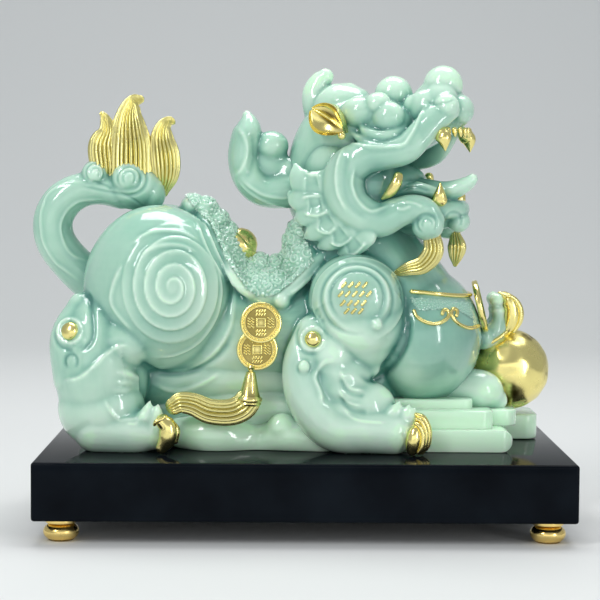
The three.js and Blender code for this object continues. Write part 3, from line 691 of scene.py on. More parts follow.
def face_side(side):
    """The long lip and cheek first, then nostril, eye, lids, brows, chin curl and gums."""
    def y(across):
        return side * across
    return [
        roll([(63, y(13), 23, 7.6), (56, y(18), 16, 8), (50, y(22), 8, 8.2), (43, y(26), 0, 8.4),
              (33, y(28), -3.2, 8.4), (20, y(30), -5, 9.8), (10, y(31), -11, 12), (7.5, y(32), -21, 12.4),
              (11, y(32), -31.5, 12.2), (20, y(31), -38.5, 11.4), (30, y(29), -40, 10),
              (39, y(27), -36, 8.8), (47, y(25), -33.5, 8), (54, y(22.5), -35, 7.6),
              (58, y(20), -40, 6.5)], flat=0.75, sides=40, rings=120),
        ball((63, y(14), 24.3), (7.6, 7, 7.6)),
        ball((50, y(9), 23), (12, 10, 12)),
        ball((57, y(7), 28.5), (10.5, 8.5, 10)),
        ball((30.6, y(20.5), 17.6), (10, 8.8, 9.8)),
        ball((27, y(13), 14), (17, 14, 13)),
        ball((22, y(13), 7), (21, 13, 13)),
        ball((12, y(14), -22), (24, 16, 24)),
        roll([(14, y(23), 14, 1), (20, y(27), 9.5, 3), (28, y(28.5), 7.4, 3.2), (35, y(26.5), 8.4, 3),
              (41, y(20), 13, 1.2)]),
        roll([(10, y(25), 9, 1), (19, y(28), 4.5, 3), (28, y(29), 2.8, 3), (38, y(26), 5, 1.6)]),
        ball((13, y(20), 21), (11.5, 9, 9.4)),
        ball((20, y(17), 20), (12, 9.5, 10)),
        ball((23.6, y(19), 25.5), (8, 8.6, 7.4)),
        ball((43, y(9), 25), (7, 8, 7)),
        ball((54.5, y(20), -42.5), (9.6, 8.4, 9.4)),
        roll([(34, y(15), -25, 4), (47, y(14.5), -22.5, 4), (58, y(13), -25, 4)]),
    ]


# %% Petals behind the cheek
PETALS = (
    ((-2, -33, -20.5, 9), (-14, -33, -21, 8.6), (-20, -32, -15.5, 6.4), (-22.8, -30, -9.2, 1.8)),
    ((-2, -33, -29.2, 7.6), (-15, -34, -29.3, 7.6), (-21.5, -33, -28, 6.2), (-25.5, -31, -26, 2.6)),
    ((2, -34, -36, 7.4), (-9.7, -34.5, -36.7, 7.4), (-17, -33.5, -39, 5.8), (-20.9, -31.5, -40.4, 2.6)),
    ((7, -34.5, -41.6, 7.2), (-3, -35, -44.7, 7), (-10.4, -34, -48.3, 5.2), (-14.6, -32, -50.2, 2.4)),
    ((14, -34.5, -47, 6.8), (5, -35, -50.8, 6.4), (-1.7, -34, -53.9, 5), (-6.5, -32, -55.8, 2.2)),
    ((22.5, -34.5, -49.4, 6.4), (16, -35, -55.2, 5.8), (10, -34, -58.2, 4.6), (5.2, -32, -59.6, 2)),
)
FRILL_GROUND = ((-6, -32, -19, 6), (-10, -33, -27, 9), (-7, -33.4, -36, 9), (0, -33.4, -43.5, 9),
                (9, -33.4, -49, 9), (19, -33, -52, 7))


def frill(side):
    """Overlapping petals that fan out behind the cheek."""
    return [roll([(x, -side * y, z, wide) for x, y, z, wide in petal], flat=0.5, sides=32)
            for petal in (*PETALS, FRILL_GROUND)]


# %% Cast the head
HEAD_VOXEL = 0.75
HEAD_MELT = 5
head_forms = skull()
for side in SIDES:
    head_forms += face_side(side) + frill(side)
head = cast("jade_head", head_forms, HEAD_VOXEL, HEAD_MELT)
for side in SIDES:
    behind_lip = (((-4, side * 27, 3), 15), ((-5, side * 30, -4), 12))
    soften(head, (((58, side * 10, 30), 9), *behind_lip), rounds=80)
turn_head(head)

# %% Lines of the head
FACE_LINES = {
    "upper edge of the lip": (RIDGE, 0.9, 1.2, ((346, 142), (360, 145), (376, 147), (392, 147),
        (403, 145), (409, 138), (415, 128), (422, 112), (430, 103))),
    "lower edge of the lip": (RIDGE, 0.9, 1.2, ((354, 168), (352, 180), (353, 190), (359, 202),
        (370, 211), (381, 209), (389, 205))),
    "back edge of the cheek": (RIDGE, 0.8, 1.2, ((343, 148), (338, 162), (336, 177), (338, 194),
        (346, 210))),
    "groove of the cheek": (GROOVE, 0.7, 2.2, ((349, 152), (345, 168), (344, 182), (347, 197),
        (355, 210), (368, 220))),
    "upper line of the jaw": (RIDGE, 0.6, 0.9, ((404, 202), (413, 203), (423, 207))),
    "lower line of the jaw": (RIDGE, 0.6, 0.9, ((397, 209), (404, 209), (411, 206))),
    "outer groove of the chin curl": (GROOVE, 0.7, 1.1, ring(427, 224, 10, 10, -40, 250)),
    "inner groove of the chin curl": (GROOVE, 0.5, 0.8, ring(427, 224, 5, 5, -30, 230)),
    "curl of the far chin": (GROOVE, 0.6, 0.9, ring(454, 220, 8, 8, -60, 200)),
    "crease of the nose": (GROOVE, 0.6, 1.0, ((426, 100), (433, 104), (444, 103), (456, 99))),
    "ridge of the tongue": (RIDGE, 0.7, 1.0, ((402, 184), (415, 182), (428, 186), (440, 190))),
    "groove of the tongue": (GROOVE, 0.7, 1.0, ((402, 189), (416, 187), (430, 191))),
    "hollow of petal 1": (GROOVE, 0.9, 4.0, ((304, 184), (311, 184), (318, 182))),
    "hollow of petal 2": (GROOVE, 1.1, 4.2, ((308, 205.5), (315, 205.5), (322, 204))),
    "hollow of petal 3": (GROOVE, 1.1, 4.0, ((318, 223), (325, 222), (331, 218))),
    "hollow of petal 4": (GROOVE, 1.1, 4.0, ((332, 238), (338, 236), (344, 231))),
    "hollow of petal 5": (GROOVE, 1.0, 3.6, ((346, 250), (353, 247), (359, 241))),
    "edge of petal 1": (RIDGE, 1.0, 0.9, ((302, 199), (306, 197), (313, 196), (321, 196))),
    "edge of petal 2": (RIDGE, 1.0, 0.9, ((304, 213), (308, 214.5), (318, 215.5), (328, 211))),
    "edge of petal 3": (RIDGE, 1.0, 0.9, ((316, 228), (320, 231), (325, 233), (330, 232.6), (336, 227))),
    "edge of petal 4": (RIDGE, 1.1, 0.9, ((330, 242), (335, 244.5), (340, 245.6), (347, 242),
        (353, 236.5))),
    "edge of petal 5": (RIDGE, 1.0, 0.9, ((347, 256), (355, 253.5), (361, 248), (366, 242))),
    "top of the petals": (RIDGE, 0.9, 0.9, ((305, 173), (311, 175), (319, 175))),
}
carve(head, FACE_LINES, HEAD_MIRROR)

# %% [markdown]
# ## Tail and the lock behind the neck
# Both are rolls that stand clear of the body, so they are cast on their own. Their roots sink
# into the body where the real casting shows a crease.

# %% Tail and lock
tail = cast("jade_tail", [
    roll([(-108, 0, 82, 16), (-122, 0, 92, 13.5), (-136, 0, 103.5, 12), (-146.5, 0, 117, 11.8),
          (-148.5, 0, 130, 11.7), (-143, 0, 141, 11.4), (-133, 0, 147.5, 10.4),
          (-121, 0, 149, 9.6), (-108, 0, 147, 10)], sides=40, rings=80),
    ball((-100, 0, 149), (17, 14, 12.5)),
    ball((-91, 0, 147), (9, 11, 11)),
    ball((-123.4, 0, 157.4), (8.6, 12, 8.4)),
    ball((-104, 0, 154.6), (11.2, 16, 11.2)),
], voxel=0.75, melt=3)

ruyi_lock = cast("jade_ruyi_lock", [
    roll([(-6, 0, 149, 11), (-23.5, 0, 148, 9.6), (-33, 0, 155, 9.4), (-36.8, 0, 167, 9.2),
          (-35.4, 0, 178.5, 9), (-34, 0, 185, 7.9), (-34, 0, 190, 5.2), (-34.8, 0, 193.5, 2.4)],
         flat=1.5, sides=32, rings=60),
    ball((-24, 0, 163), (15, 6.5, 15)),
    ball((-9, 0, 157), (11, 9, 11)),
    ball((-20.2, 0, 174.7), (10.1, 10, 9.0)),
    roll([(-33, 0, 172, 5), (-26, 0, 176, 5.6), (-20, 0, 175.6, 7)]),
    roll([(-22, 0, 163, 8), (-12, 0, 158, 8), (-2, 0, 160, 9)], flat=0.85),
], voxel=0.7, melt=4)
soften(ruyi_lock, (((-17, -6, 164), 12), ((-17, 6, 164), 12)), rounds=80)

# %% Lines of the tail and the lock
TAIL_LINES = {
    "outer line of the loop": (RIDGE, 0.6, 1.0, ((83, 182), (66, 183), (49, 193), (41.5, 210),
        (40.7, 227), (44.5, 245), (55, 262), (65, 270), (78, 280))),
    "inner line of the loop": (RIDGE, 0.6, 1.0, ((106, 200), (88, 200), (76, 203), (66, 212),
        (61, 223), (61, 233), (66, 247), (74, 256), (87, 261))),
    "outer groove of the small scroll": (GROOVE, 0.8, 1.0, ring(95, 172.5, 9.5, 9.5, -60, 240)),
    "inner groove of the small scroll": (GROOVE, 0.6, 0.9, ring(95, 172.5, 4.8, 4.8, -60, 200)),
    "outer groove of the large scroll": (GROOVE, 1.0, 1.1, ring(129, 178, 18, 17, -120, 200)),
    "middle groove of the large scroll": (GROOVE, 0.8, 1.0, ring(129, 178, 12, 11.5, -90, 230)),
    "inner groove of the large scroll": (GROOVE, 0.6, 0.9, ring(129, 178, 6.5, 6.5, -60, 240)),
    "groove under the scrolls": (GROOVE, 0.6, 0.9, ((84, 186), (105, 191), (127, 196), (145, 207))),
    "groove between the scrolls": (GROOVE, 0.6, 0.9, ((92, 181), (106, 185), (112, 190))),
}
LOCK_LINES = {
    "edge of the leaf": (RIDGE, 0.8, 1.4, ((238, 128), (244, 136), (247, 146), (246, 158), (241, 170),
        (234, 176))),
    "groove beside the edge": (GROOVE, 0.8, 2.2, ((252, 134), (254, 146), (254, 160), (250, 172),
        (243, 179))),
    "lower line of the stem": (RIDGE, 0.6, 1.0, ((239, 182), (250, 193), (266, 202), (285, 207),
        (296, 209))),
    "upper line of the stem": (RIDGE, 0.7, 1.2, ((243, 181), (252, 188), (264, 195), (280, 198),
        (292, 197))),
}
carve(tail, TAIL_LINES, BODY_MIRROR)
carve(ruyi_lock, LOCK_LINES, BODY_MIRROR)

# %% [markdown]
# ## Steps and clouds
# The front of the casting is a stack of slabs with upright edges, and between the legs it is a
# low bank of cloud. The slabs keep their edges, so they are bevelled boxes and not remeshed.

# %% Steps
STEP_EDGE = 1.1
STEPS = (
    ("jade_step_low", 30, 119.5, -44, 46, 0.3, 12.7, 7),
    ("jade_step_middle", 30, 108.5, -38, 42, 12, 23.3, 7),
    ("jade_step_high", 30, 97.5, -30, 36, 22, 29, 6),
    ("jade_step_side", 90, 124, -22, 14, 12.4, 22.2, 8),
    ("jade_step_ball", 90, 141, 12, 52, 0.3, 15.2, 8),
)


def slab(name, left, right, front, back, low, high, end):
    """A box whose upright edges on the right are rounded by end, and then all edges a little."""
    deselect()
    size = (right - left, back - front, high - low)
    middle = ((left + right) / 2, (front + back) / 2, (low + high) / 2)
    bpy.ops.mesh.primitive_cube_add(size=1, location=middle, scale=size)
    piece = bpy.context.object
    bpy.ops.object.transform_apply(location=True, rotation=True, scale=True)
    select_edges(piece, lambda a, b: abs(a.z - b.z) > 1 and a.x > middle[0])
    bpy.ops.mesh.bevel(offset=end, segments=12)
    bpy.ops.object.mode_set(mode="OBJECT")
    apply_modifier(piece, "BEVEL", width=STEP_EDGE, segments=3, limit_method="ANGLE")
    piece.name = name
    return piece


steps = join("jade_steps", [slab(*step) for step in STEPS])

# %% Clouds
CLOUD_VOXEL = 1.15
CLOUD_MELT = 8
NEAR_END = 38
FAR_END = 30
cloud_forms = [roll([(84, -8, 34, 10), (97, -9, 33, 12), (106, -9, 31, 12), (112, -7, 26, 8)],
                    sides=40)]
for side in SIDES:
    end = NEAR_END if side < 0 else FAR_END
    cloud_forms.append(roll([(-72, side * 30, 9, 9), (-52, side * 34, 8, 13), (-28, side * 31, 5, 9),
                             (-10, side * 34, 8, 11), (10, side * end, 5, 8)]))
    cloud_forms.append(ball((-13, side * 37, 13), (9, 8, 8.6)))
cloud_forms.append(roll([(4, 32, 9, 8), (20, 29, 8, 10.5), (33, 24, 7, 8)]))
cloud_forms.append(ball((-30, 33, 9), (11, 9, 9)))
clouds = cast("jade_clouds", cloud_forms, CLOUD_VOXEL, CLOUD_MELT)

# %% [markdown]
# ## Cutting flat
# The casting is sanded flat underneath, or it would rock. Balls and rolls reach below the
# plinth's top, so Bisect cuts them there, and its fill closes the underside.

# %% Cut the underside flat
TOUCH_GAP = 0.3
UNDERSIDE = {"plane_co": (0, 0, TOUCH_GAP), "plane_no": (0, 0, 1), "clear_inner": True, "use_fill": True}
for piece in (body, clouds):
    in_edit_mode(piece, (bpy.ops.mesh.bisect, UNDERSIDE))
    print(piece.name, "lowest point, mm:", round(float(places(piece)[:, 2].min()), 2))

# %% [markdown]
# ## Gilded forms
# On the real thing the gold is thick paint with an edge of its own. A painted mask would have no
# edge, so everything gilded is its own piece, laid over the jade. Strands are a roll whose
# section is scalloped, so its grooves run together at the tip as combed hair does.

# %% The flame tuft
TUFT_STRANDS = 28
SIDE_STRANDS = 20
tuft = join("gilt_flame_tuft", [
    roll([(-103.5, 0, 158, 12.8), (-103.5, 0, 173, 12.4), (-104, 0, 185, 9.8), (-103.5, 0, 194, 6.6),
          (-101, 0, 200, 4.2), (-97, 0, 201.5, 2.2)], flat=0.75, strands=TUFT_STRANDS, rings=64,
         depth=0.17),
    roll([(-118, 0, 162, 8.2), (-119, 0, 174, 8.2), (-116.5, 0, 183, 5.2), (-118, 0, 190, 2.8),
          (-120, 0, 193, 1.4)], flat=0.9, strands=SIDE_STRANDS, rings=56, depth=0.18),
    roll([(-84, 0, 147, 3), (-82.5, 0, 157, 7.4), (-83, 0, 168, 8.4), (-84.5, 0, 178, 6.8),
          (-83.5, 0, 185.5, 4.4), (-80, 0, 189, 2.6), (-78, 0, 188, 1.5)], flat=0.9,
         strands=SIDE_STRANDS, rings=60, depth=0.18),
])

# %% [markdown]
# ## Ears, teeth and beards
# An ear is a folded leaf, hollowed on both sides of its fold, with a thin rim that catches the
# light. A cast ball would lose that rim, so the ear is worked out as a grid of points and given
# its thickness by an extrusion. Fangs and teeth are short rolls that end in a point, and the
# beards are combed strands.

# %% Ears
EAR_ROWS = 40
EAR_COLUMNS = 33
EAR_LEAN = math.radians(56)
EAR_HALF = 9.2
EAR_OUT = 36.5
EAR_RIM = 2.0
EAR_HOLLOW = 3.4
EAR_THICK = 8
FOLD_PLACE = 0.15
FOLD_WIDTH = 0.13
FOLD_HEIGHT = 2.6


def ear(side):
    """A folded leaf: a rim all round, a ridge along it and a hollow on each side."""
    along = np.linspace(0, 1, EAR_ROWS)[:, None] * np.ones(EAR_COLUMNS)
    across = np.linspace(-1, 1, EAR_COLUMNS)[None, :] * np.ones((EAR_ROWS, 1))
    half = EAR_HALF * np.sin(np.clip(along, 0.004, 0.99) ** 0.8 * math.pi) ** 0.75
    middle_x = -10.5 + 19.5 * along
    middle_z = 22.5 - 13 * along
    rim = EAR_RIM * np.abs(across) ** 6
    fold = FOLD_HEIGHT * np.exp(-(((across - FOLD_PLACE) / FOLD_WIDTH) ** 2))
    fold = fold * np.clip(along * 4, 0, 1) * np.clip((0.9 - along) * 6, 0, 1)
    hollow = EAR_HOLLOW * (1 - across**2) * np.sin(along * math.pi)
    rise = EAR_OUT + rim + fold - hollow - 1.5 * (along - 0.5) ** 2
    px = middle_x + across * half * math.cos(EAR_LEAN)
    pz = middle_z + across * half * math.sin(EAR_LEAN)
    corners = np.stack([px, side * rise, pz], axis=2).reshape(-1, 3)
    wide = EAR_COLUMNS
    first = [i * wide + j for i in range(EAR_ROWS - 1) for j in range(wide - 1)]
    mesh = bpy.data.meshes.new("ear")
    mesh.from_pydata(corners.tolist(), [], [(a, a + 1, a + wide + 1, a + wide) for a in first])
    leaf = bpy.data.objects.new("ear", mesh)
    bpy.context.collection.objects.link(leaf)
    thicken = {"TRANSFORM_OT_translate": {"value": (0, -side * EAR_THICK, 0)}}
    in_edit_mode(leaf, (bpy.ops.mesh.extrude_region_move, thicken),
                 (bpy.ops.mesh.normals_make_consistent, {"inside": False}))
    apply_modifier(leaf, "BEVEL", width=0.7, segments=2, limit_method="ANGLE",
                   angle_limit=math.radians(50))
    return [leaf, ball((8.2, side * 37, 7.4), (2.3, 2.2, 2.3), sides=24)]


# %% Fangs and teeth
TEETH = 9
FIRST_TOOTH = -62
TOOTH_STEP = 15.5
FAR_FANG_AHEAD = 3


def face_gilt(side):
    """An ear, the upper and lower fang and the tusk of one side. The far fang stands ahead."""
    reach = 0 if side < 0 else FAR_FANG_AHEAD
    return ear(side) + [
        roll([(62.2 + reach, side * 18.5, 8.4, 4.6), (63.6 + reach, side * 20, 5.5, 4.2),
              (64.4 + reach, side * 19.8, -0.6, 0.5)], flat=0.8),
        roll([(61, side * 18.5, -28, 4.6), (61.4, side * 19.6, -25, 3.4), (61.5, side * 19.3, -19, 0.5)],
             flat=0.8),
        roll([(39.6, side * 29, -15.5, 2.8), (38.8, side * 30.5, -19.5, 3.3),
              (35.5, side * 30.5, -24.3, 2.9), (30.5, side * 29.4, -28, 1.0)]),
    ]


def front_teeth():
    """Small teeth on an arc under the nose, with their turns in degrees."""
    forms = []
    for tooth in range(TEETH):
        turn = math.radians(FIRST_TOOTH + TOOTH_STEP * tooth)
        x, y = 58 + 13.5 * math.cos(turn), 17 * math.sin(turn)
        forms.append(roll([(x, y, 11.4, 1.6), (x + 0.3, y, 9.6, 1.5), (x + 0.5, y, 7.9, 0.8)], sides=16,
                          rings=16))
    return forms


gilt_face = turn_head(join("gilt_face", face_gilt(-1) + face_gilt(1) + front_teeth()))

# %% Beards
BEARD_STRANDS = 14
hair = turn_head(join("gilt_beards", [
    roll([(56.5, -18, -49, 4.6), (57.5, -18.5, -58, 5.4), (52, -20, -65.5, 4.8), (44, -22, -68, 3.6),
          (37, -23, -70.8, 1.8), (34, -23.2, -73, 0.8)], strands=BEARD_STRANDS, rings=72, depth=0.2),
    roll([(60, 17, -49, 2.8), (61, 17, -56, 5.0), (60.5, 17, -62, 3.8), (60, 17, -67, 1.2)],
         strands=BEARD_STRANDS, rings=48, depth=0.2),
]))

# %% [markdown]
# ## Coins, bell and tassel
# Each coin has a raised rim, a square in the middle and rows of short plain strokes between.
# Coin, bell and button are round, so each is a profile that the Screw modifier turns round an
# axis, as a lathe would. The tassel is one roll of combed strands.

# %% Turned forms
COIN_RADIUS = 11.7
COIN_BEADS = 44


def face_to(place, look):
    """A matrix that takes a form standing along Z to a place, looking along a direction."""
    return Matrix.Translation(place) @ Vector(look).to_track_quat("Z", "Y").to_matrix().to_4x4()


def turned(profile, place=(0, 0, 0), look=(0, 0, 1), steps=64):
    """A profile of (radius, height) turned round its axis."""
    mesh = bpy.data.meshes.new("turned")
    mesh.from_pydata([(r, 0, h) for r, h in profile], [(i, i + 1) for i in range(len(profile) - 1)], [])
    piece = bpy.data.objects.new("turned", mesh)
    bpy.context.collection.objects.link(piece)
    apply_modifier(piece, "SCREW", angle=2 * math.pi, steps=steps, render_steps=steps,
                   use_merge_vertices=True, use_normal_calculate=True)
    in_edit_mode(piece, (bpy.ops.mesh.normals_make_consistent, {"inside": False}))
    piece.data.transform(face_to(place, look))
    return piece


# %% Coins


def stroke(start, end, thick, height):
    """A short raised stroke on a coin's face, between two (x, y) points."""
    return roll([(*start, height, thick), (*end, height, thick)], sides=10, rings=12, side=(0, 0, 1))


def coin(place, radius, thick, look):
    """A disc with a rim, a square, two rows of strokes on each side of it and a ring of beads."""
    r = radius
    forms = [turned([(0, -thick), (r * 0.97, -thick), (r, -thick + 0.5), (r, -0.4), (r * 0.97, 0),
                     (r * 0.9, 0), (r * 0.87, -0.9), (r * 0.8, -0.9), (r * 0.78, -0.5), (r * 0.74, -0.5),
                     (r * 0.72, -1.0), (0, -1.0)])]
    square = r * 0.2
    for a, b in (((-1, -1), (1, -1)), ((1, -1), (1, 1)), ((1, 1), (-1, 1)), ((-1, 1), (-1, -1))):
        forms.append(stroke((a[0] * square, a[1] * square), (b[0] * square, b[1] * square), 0.55, -0.9))
    for quarter in range(4):
        turn = Matrix.Rotation(quarter * math.pi / 2, 2)
        for row in range(2):
            for column in range(4):
                u, v = r * (0.13 * column - 0.2), r * (0.4 + 0.17 * row)
                ends = [turn @ Vector((u - 0.4, v - 0.6)), turn @ Vector((u + 0.4, v + 0.6))]
                forms.append(stroke(ends[0], ends[1], 0.5, -0.9))
    turns = [2 * math.pi * i / COIN_BEADS for i in range(COIN_BEADS)]
    forms.append(beads([(r * 0.835 * math.cos(turn), r * 0.835 * math.sin(turn), -0.8, 0.5)
                        for turn in turns]))
    piece = join("coin", forms)
    piece.data.transform(face_to(place, look))
    return piece


def beads(spots):
    """Many small balls as one mesh, each (x, y, z, radius)."""
    deselect()
    bpy.ops.mesh.primitive_ico_sphere_add(subdivisions=2, radius=1)
    made = bpy.context.object
    corners = places(made)
    faces = np.array([list(face.vertices) for face in made.data.polygons])
    spots = np.array(spots)
    cloud = corners[None] * spots[:, None, 3:] + spots[:, None, :3]
    shifted = faces[None] + (np.arange(len(spots)) * len(corners))[:, None, None]
    mesh = bpy.data.meshes.new("beads")
    mesh.from_pydata(cloud.reshape(-1, 3).tolist(), [], shifted.reshape(-1, 3).tolist())
    made.data = mesh
    return made


# %% Coins, bell and tassel in place
BELL = ((0, 4.6), (1.6, 4.4), (2.4, 3), (1.6, 1.4), (1.5, 0.6), (2.6, 0.4), (2.8, -0.6), (3.2, -1.6),
        (4.2, -6), (5.2, -10.5), (6.2, -13), (7.4, -14.2), (7.6, -15.4), (6.8, -16.4), (7.2, -17.4),
        (6.4, -18.4), (0, -18.4))

hanging = join("gilt_coins_and_bell", [
    coin((-27.4, -47.3, 58.7), COIN_RADIUS, 8, (0, -1, 0.05)),
    coin((-25.3, -49.8, 74.3), COIN_RADIUS, 12, (0, -1, 0.15)),
    turned(BELL, (-30.9, -47, 45.5), (0.06, 0, 1)),
])
tassel = join("gilt_tassel", [
    roll([(-32.8, -47, 29, 7), (-36, -47, 25.5, 7.2), (-43, -48, 23, 7.0), (-54, -48.5, 23.6, 6.6),
          (-63, -48.5, 27.4, 6.0), (-70, -49, 28.5, 5.6), (-74.5, -49, 26.5, 4.6)], strands=16, rings=96,
         depth=0.2, flat=0.85),
])

# %% [markdown]
# ## Claws and ball
# A claw is a nest of shells, each slipped over the next. Carved from the paw it would be blurred
# by the casting, so each shell is a small roll. The ball is hand-gilded over cast resin, so it
# isn't perfectly round: an icosphere whose vertices follow a soft noise.

# %% Claws on the plinth


def hind_claw(side):
    """A bean with a small hook curled over its top."""
    y = side * 58.5
    return [
        roll([(-80, y, 19, 4.2), (-77, y, 15.5, 5.2), (-77.2, y, 9.5, 5.2), (-80.5, y, 4, 3.4)], sides=32),
        roll([(-75.5, y, 19.5, 1.4), (-72.4, y, 14, 2.2), (-73.2, y, 8, 2)]),
        roll([(-80, y + side * 3, 20.8, 1.3), (-83.4, y + side * 3.5, 19.4, 1.2),
              (-84.4, y + side * 3, 17.4, 0.9)]),
    ]


CRESCENTS = (
    (-56, (62.3, 23.4), (66.2, 21.7), (69.1, 16.6), (69.8, 11.5), (68.8, 5.8), (65.9, 1.6)),
    (-58, (62.3, 21.1), (65.1, 20.0), (67.4, 15.4), (68.0, 10.9), (67.1, 5.8), (64.6, 2.0)),
    (-60, (61.7, 18.9), (64.0, 17.2), (65.7, 13.8), (66.1, 9.8), (65.4, 5.2), (63.4, 2.4)),
)
CRESCENT_SIZES = (1.3, 1.8, 1.9, 1.9, 1.8, 1.2)


def fore_claw():
    """A pale oval with three crescents nested behind it."""
    forms = [ball((61.0, -59.5, 9.2), (4.6, 4.6, 8.8), tilt=8), ball((63, -54, 11), (5.5, 6, 10), tilt=8)]
    for y, *places_xz in CRESCENTS:
        spine = [(x, y, z, size) for (x, z), size in zip(places_xz, CRESCENT_SIZES)]
        forms.append(roll(spine, flat=1.5, rings=40))
    return forms


claws = join("gilt_claws", hind_claw(-1) + hind_claw(1) + fore_claw())

# %% Claws of the raised paw


def reaching_claws():
    """Each claw is a broad shell with two rims, and the pad below has a gilt edge."""
    forms = []
    for finger in (-1, 0, 1):
        y = 16 + finger * 9
        forms.append(roll([(118.4, y, 86.6, 2.0), (121.2, y, 84.6, 4.0), (123.6, y, 79, 4.8),
                           (123.4, y, 72.5, 4.8), (121, y, 66.5, 3.6), (118.8, y, 63, 1.4)], rings=48))
        for rim, lean in ((0.6, 2.6), (0.2, 4.6)):
            forms.append(roll([(119, y - lean, 87.4, 0.7), (124 + rim, y - lean * 0.6, 85.6, 1.2),
                               (128 + rim, y - lean * 0.5, 79.5, 1.5), (128 + rim, y - lean * 0.5, 72, 1.4),
                               (124.4, y - lean * 0.5, 65, 0.9)], sides=12, rings=40))
        forms.append(roll([(104, y - 4.6, 56.2, 0.8), (110, y - 5.2, 59, 1.0), (116, y - 4.8, 62.6, 1.0),
                           (120.4, y - 3, 66, 0.9)], sides=12, rings=32))
    return forms


paw_claws = join("gilt_paw_claws", reaching_claws())

# %% The ball
BALL_PLACE = (123.3, 18, 42.1)
BALL_RADIUS = 24.2
DENT_DEPTH = 0.5
DENT_SCALE = 0.13
deselect()
bpy.ops.mesh.primitive_ico_sphere_add(subdivisions=6, radius=BALL_RADIUS, location=BALL_PLACE)
bpy.ops.object.transform_apply(location=True)
gilt_ball = bpy.context.object
gilt_ball.name = "gilt_ball"
dents = np.array([noise.noise(Vector(place) * DENT_SCALE) for place in places(gilt_ball)])
put(gilt_ball, places(gilt_ball) + normals(gilt_ball) * (DENT_DEPTH * dents - 0.2)[:, None])
print("ball, deepest dent in mm:", round(DENT_DEPTH * float(dents.min()) - 0.2, 2))

# %% [markdown]
# ## Necklace, button, beads and strokes
# The cord, its scrolls and the strokes are thin rolls laid on the skin. The cord is found by
# feeling inwards from a ring round the chest, and the rest along pixels of the photograph, so
# each lies on the jade wherever that bulges. The button and the flat beads in knee and elbow are
# turned.

# %% Cord, scrolls, pendant and button
CHEST_MIDDLE = 67
CORD_HEIGHT = 90.8
front_skin = skin_of(body)


def piping(pixels, thick, mirror=None):
    """A thin roll laid on the skin along pixels of the photograph."""
    path, facing = lay(front_skin, pixels, mirror)
    kept = np.linspace(0, len(path) - 1, max(6, len(path) // 5)).astype(int)
    return roll([(*(path[i] + facing[i] * thick * 0.3), thick) for i in kept], sides=14,
                rings=len(kept) * 4, side=(0.1, 0.2, 1))


def chest_cord():
    """The necklace is laid on the skin from one shoulder round the chest to the other."""
    points = []
    for degrees in range(-104, 105, 8):
        turn = math.radians(degrees)
        start = Vector((CHEST_MIDDLE + 38 * math.cos(turn), 52 * math.sin(turn),
                        CORD_HEIGHT - 3 * math.cos(turn)))
        inward = Vector((CHEST_MIDDLE, 0, start.z)) - start
        place, facing, _, _ = front_skin.ray_cast(start, inward.normalized())
        if place:
            points.append((*(place + facing * 0.5), 1.3))
    return roll(points, sides=14, rings=120, side=(0, 0, 1))


SCROLLS = (
    ((414, 311), (417, 317), (425, 322), (434, 324), (442, 322), (448, 317), (448, 311), (444, 310),
     (442, 314)),
    ((456, 316), (457, 311), (453, 309), (451, 314), (455, 321), (462, 326), (470, 328), (478, 326)),
)
ornament = [chest_cord(), coin((105.2, -1.3, 81.5), 15.6, 3.2, (0.97, -0.12, 0.24))]
for scroll in SCROLLS:
    ornament.append(piping(scroll, 1.1))
    ornament.append(piping(scroll, 1.1, BODY_MIRROR))
ornament.append(turned([(0, 9), (3.6, 8.4), (6.8, 6.4), (8.8, 3.6), (9.4, 2.2), (9.9, 2.8), (10.9, 2.6),
                        (11.7, 1.4), (11.9, 0), (11.7, -5), (0, -5)], (-37.4, 0, 117.2), (0.72, 0, 0.7)))
necklace = join("gilt_cord_and_button", ornament)


# %% Gilt beads of knee and elbow


def gilt_beads():
    """A flat bead in each knee, and in the near elbow."""
    spots = [on_skin(front_skin, *KNEE_BEAD), on_skin(front_skin, *ELBOW_BEAD)]
    forms = []
    for (place, facing), size in zip(spots, (5.3, 4.8)):
        for flip in SIDES:
            look = Vector((facing.x, facing.y * -flip, facing.z))
            seat = Vector((place.x, place.y * -flip, place.z)) + look * 0.2
            if flip > 0 and place.x > 0:
                continue
            forms.append(turned([(0, 3.4), (size * 0.5, 3.1), (size * 0.84, 1.9), (size * 0.98, 0.2),
                                 (size, -2), (0, -2)], seat, look, steps=40))
    return forms


bead_pair = join("gilt_beads", gilt_beads())

# %% Gilt strokes on the shoulder
STROKE_ROWS = ((342, 287, 4), (339, 296, 5), (341, 305, 4), (345, 313, 3))
STROKES = [((u + 7 * i, v), (u + 7 * i + 2, v - 2), (u + 7 * i + 3.5, v - 4))
           for u, v, count in STROKE_ROWS for i in range(count)]
gilt_strokes = join("gilt_strokes", [piping(pixels, 0.8) for pixels in STROKES])

# %% [markdown]
# ## Saddle cloth
# The cloth over the back is carved with close small curls and beads. Hundreds of rolls would be
# slow, and the body's mesh is too coarse, so the cloth starts as a copy of the skin under it,
# cut finer. Curls and beads are set by chance, with a fixed seed so that every run gives the
# same cloth, and each one lifts the vertices near it.

# %% A finer patch of skin
CLOTH = ((209, 222), (225, 258), (246, 290), (262, 298), (278, 294), (292, 283), (314, 262), (306, 240),
         (300, 215), (270, 240), (226, 205), (205, 185), (186, 196), (194, 208))
COLLAR = ((409, 297), (470, 302), (474, 320), (456, 309), (444, 309), (418, 311))
PATCH_CUTS = 2


def inside(u, v, outline):
    """Whether a pixel lies inside an outline: an upright line crosses it an odd number of times."""
    crossings = 0
    for (u0, v0), (u1, v1) in zip(outline, outline[1:] + outline[:1]):
        if (u0 > u) != (u1 > u) and v < v0 + (v1 - v0) * (u - u0) / (u1 - u0):
            crossings += 1
    return crossings % 2 == 1


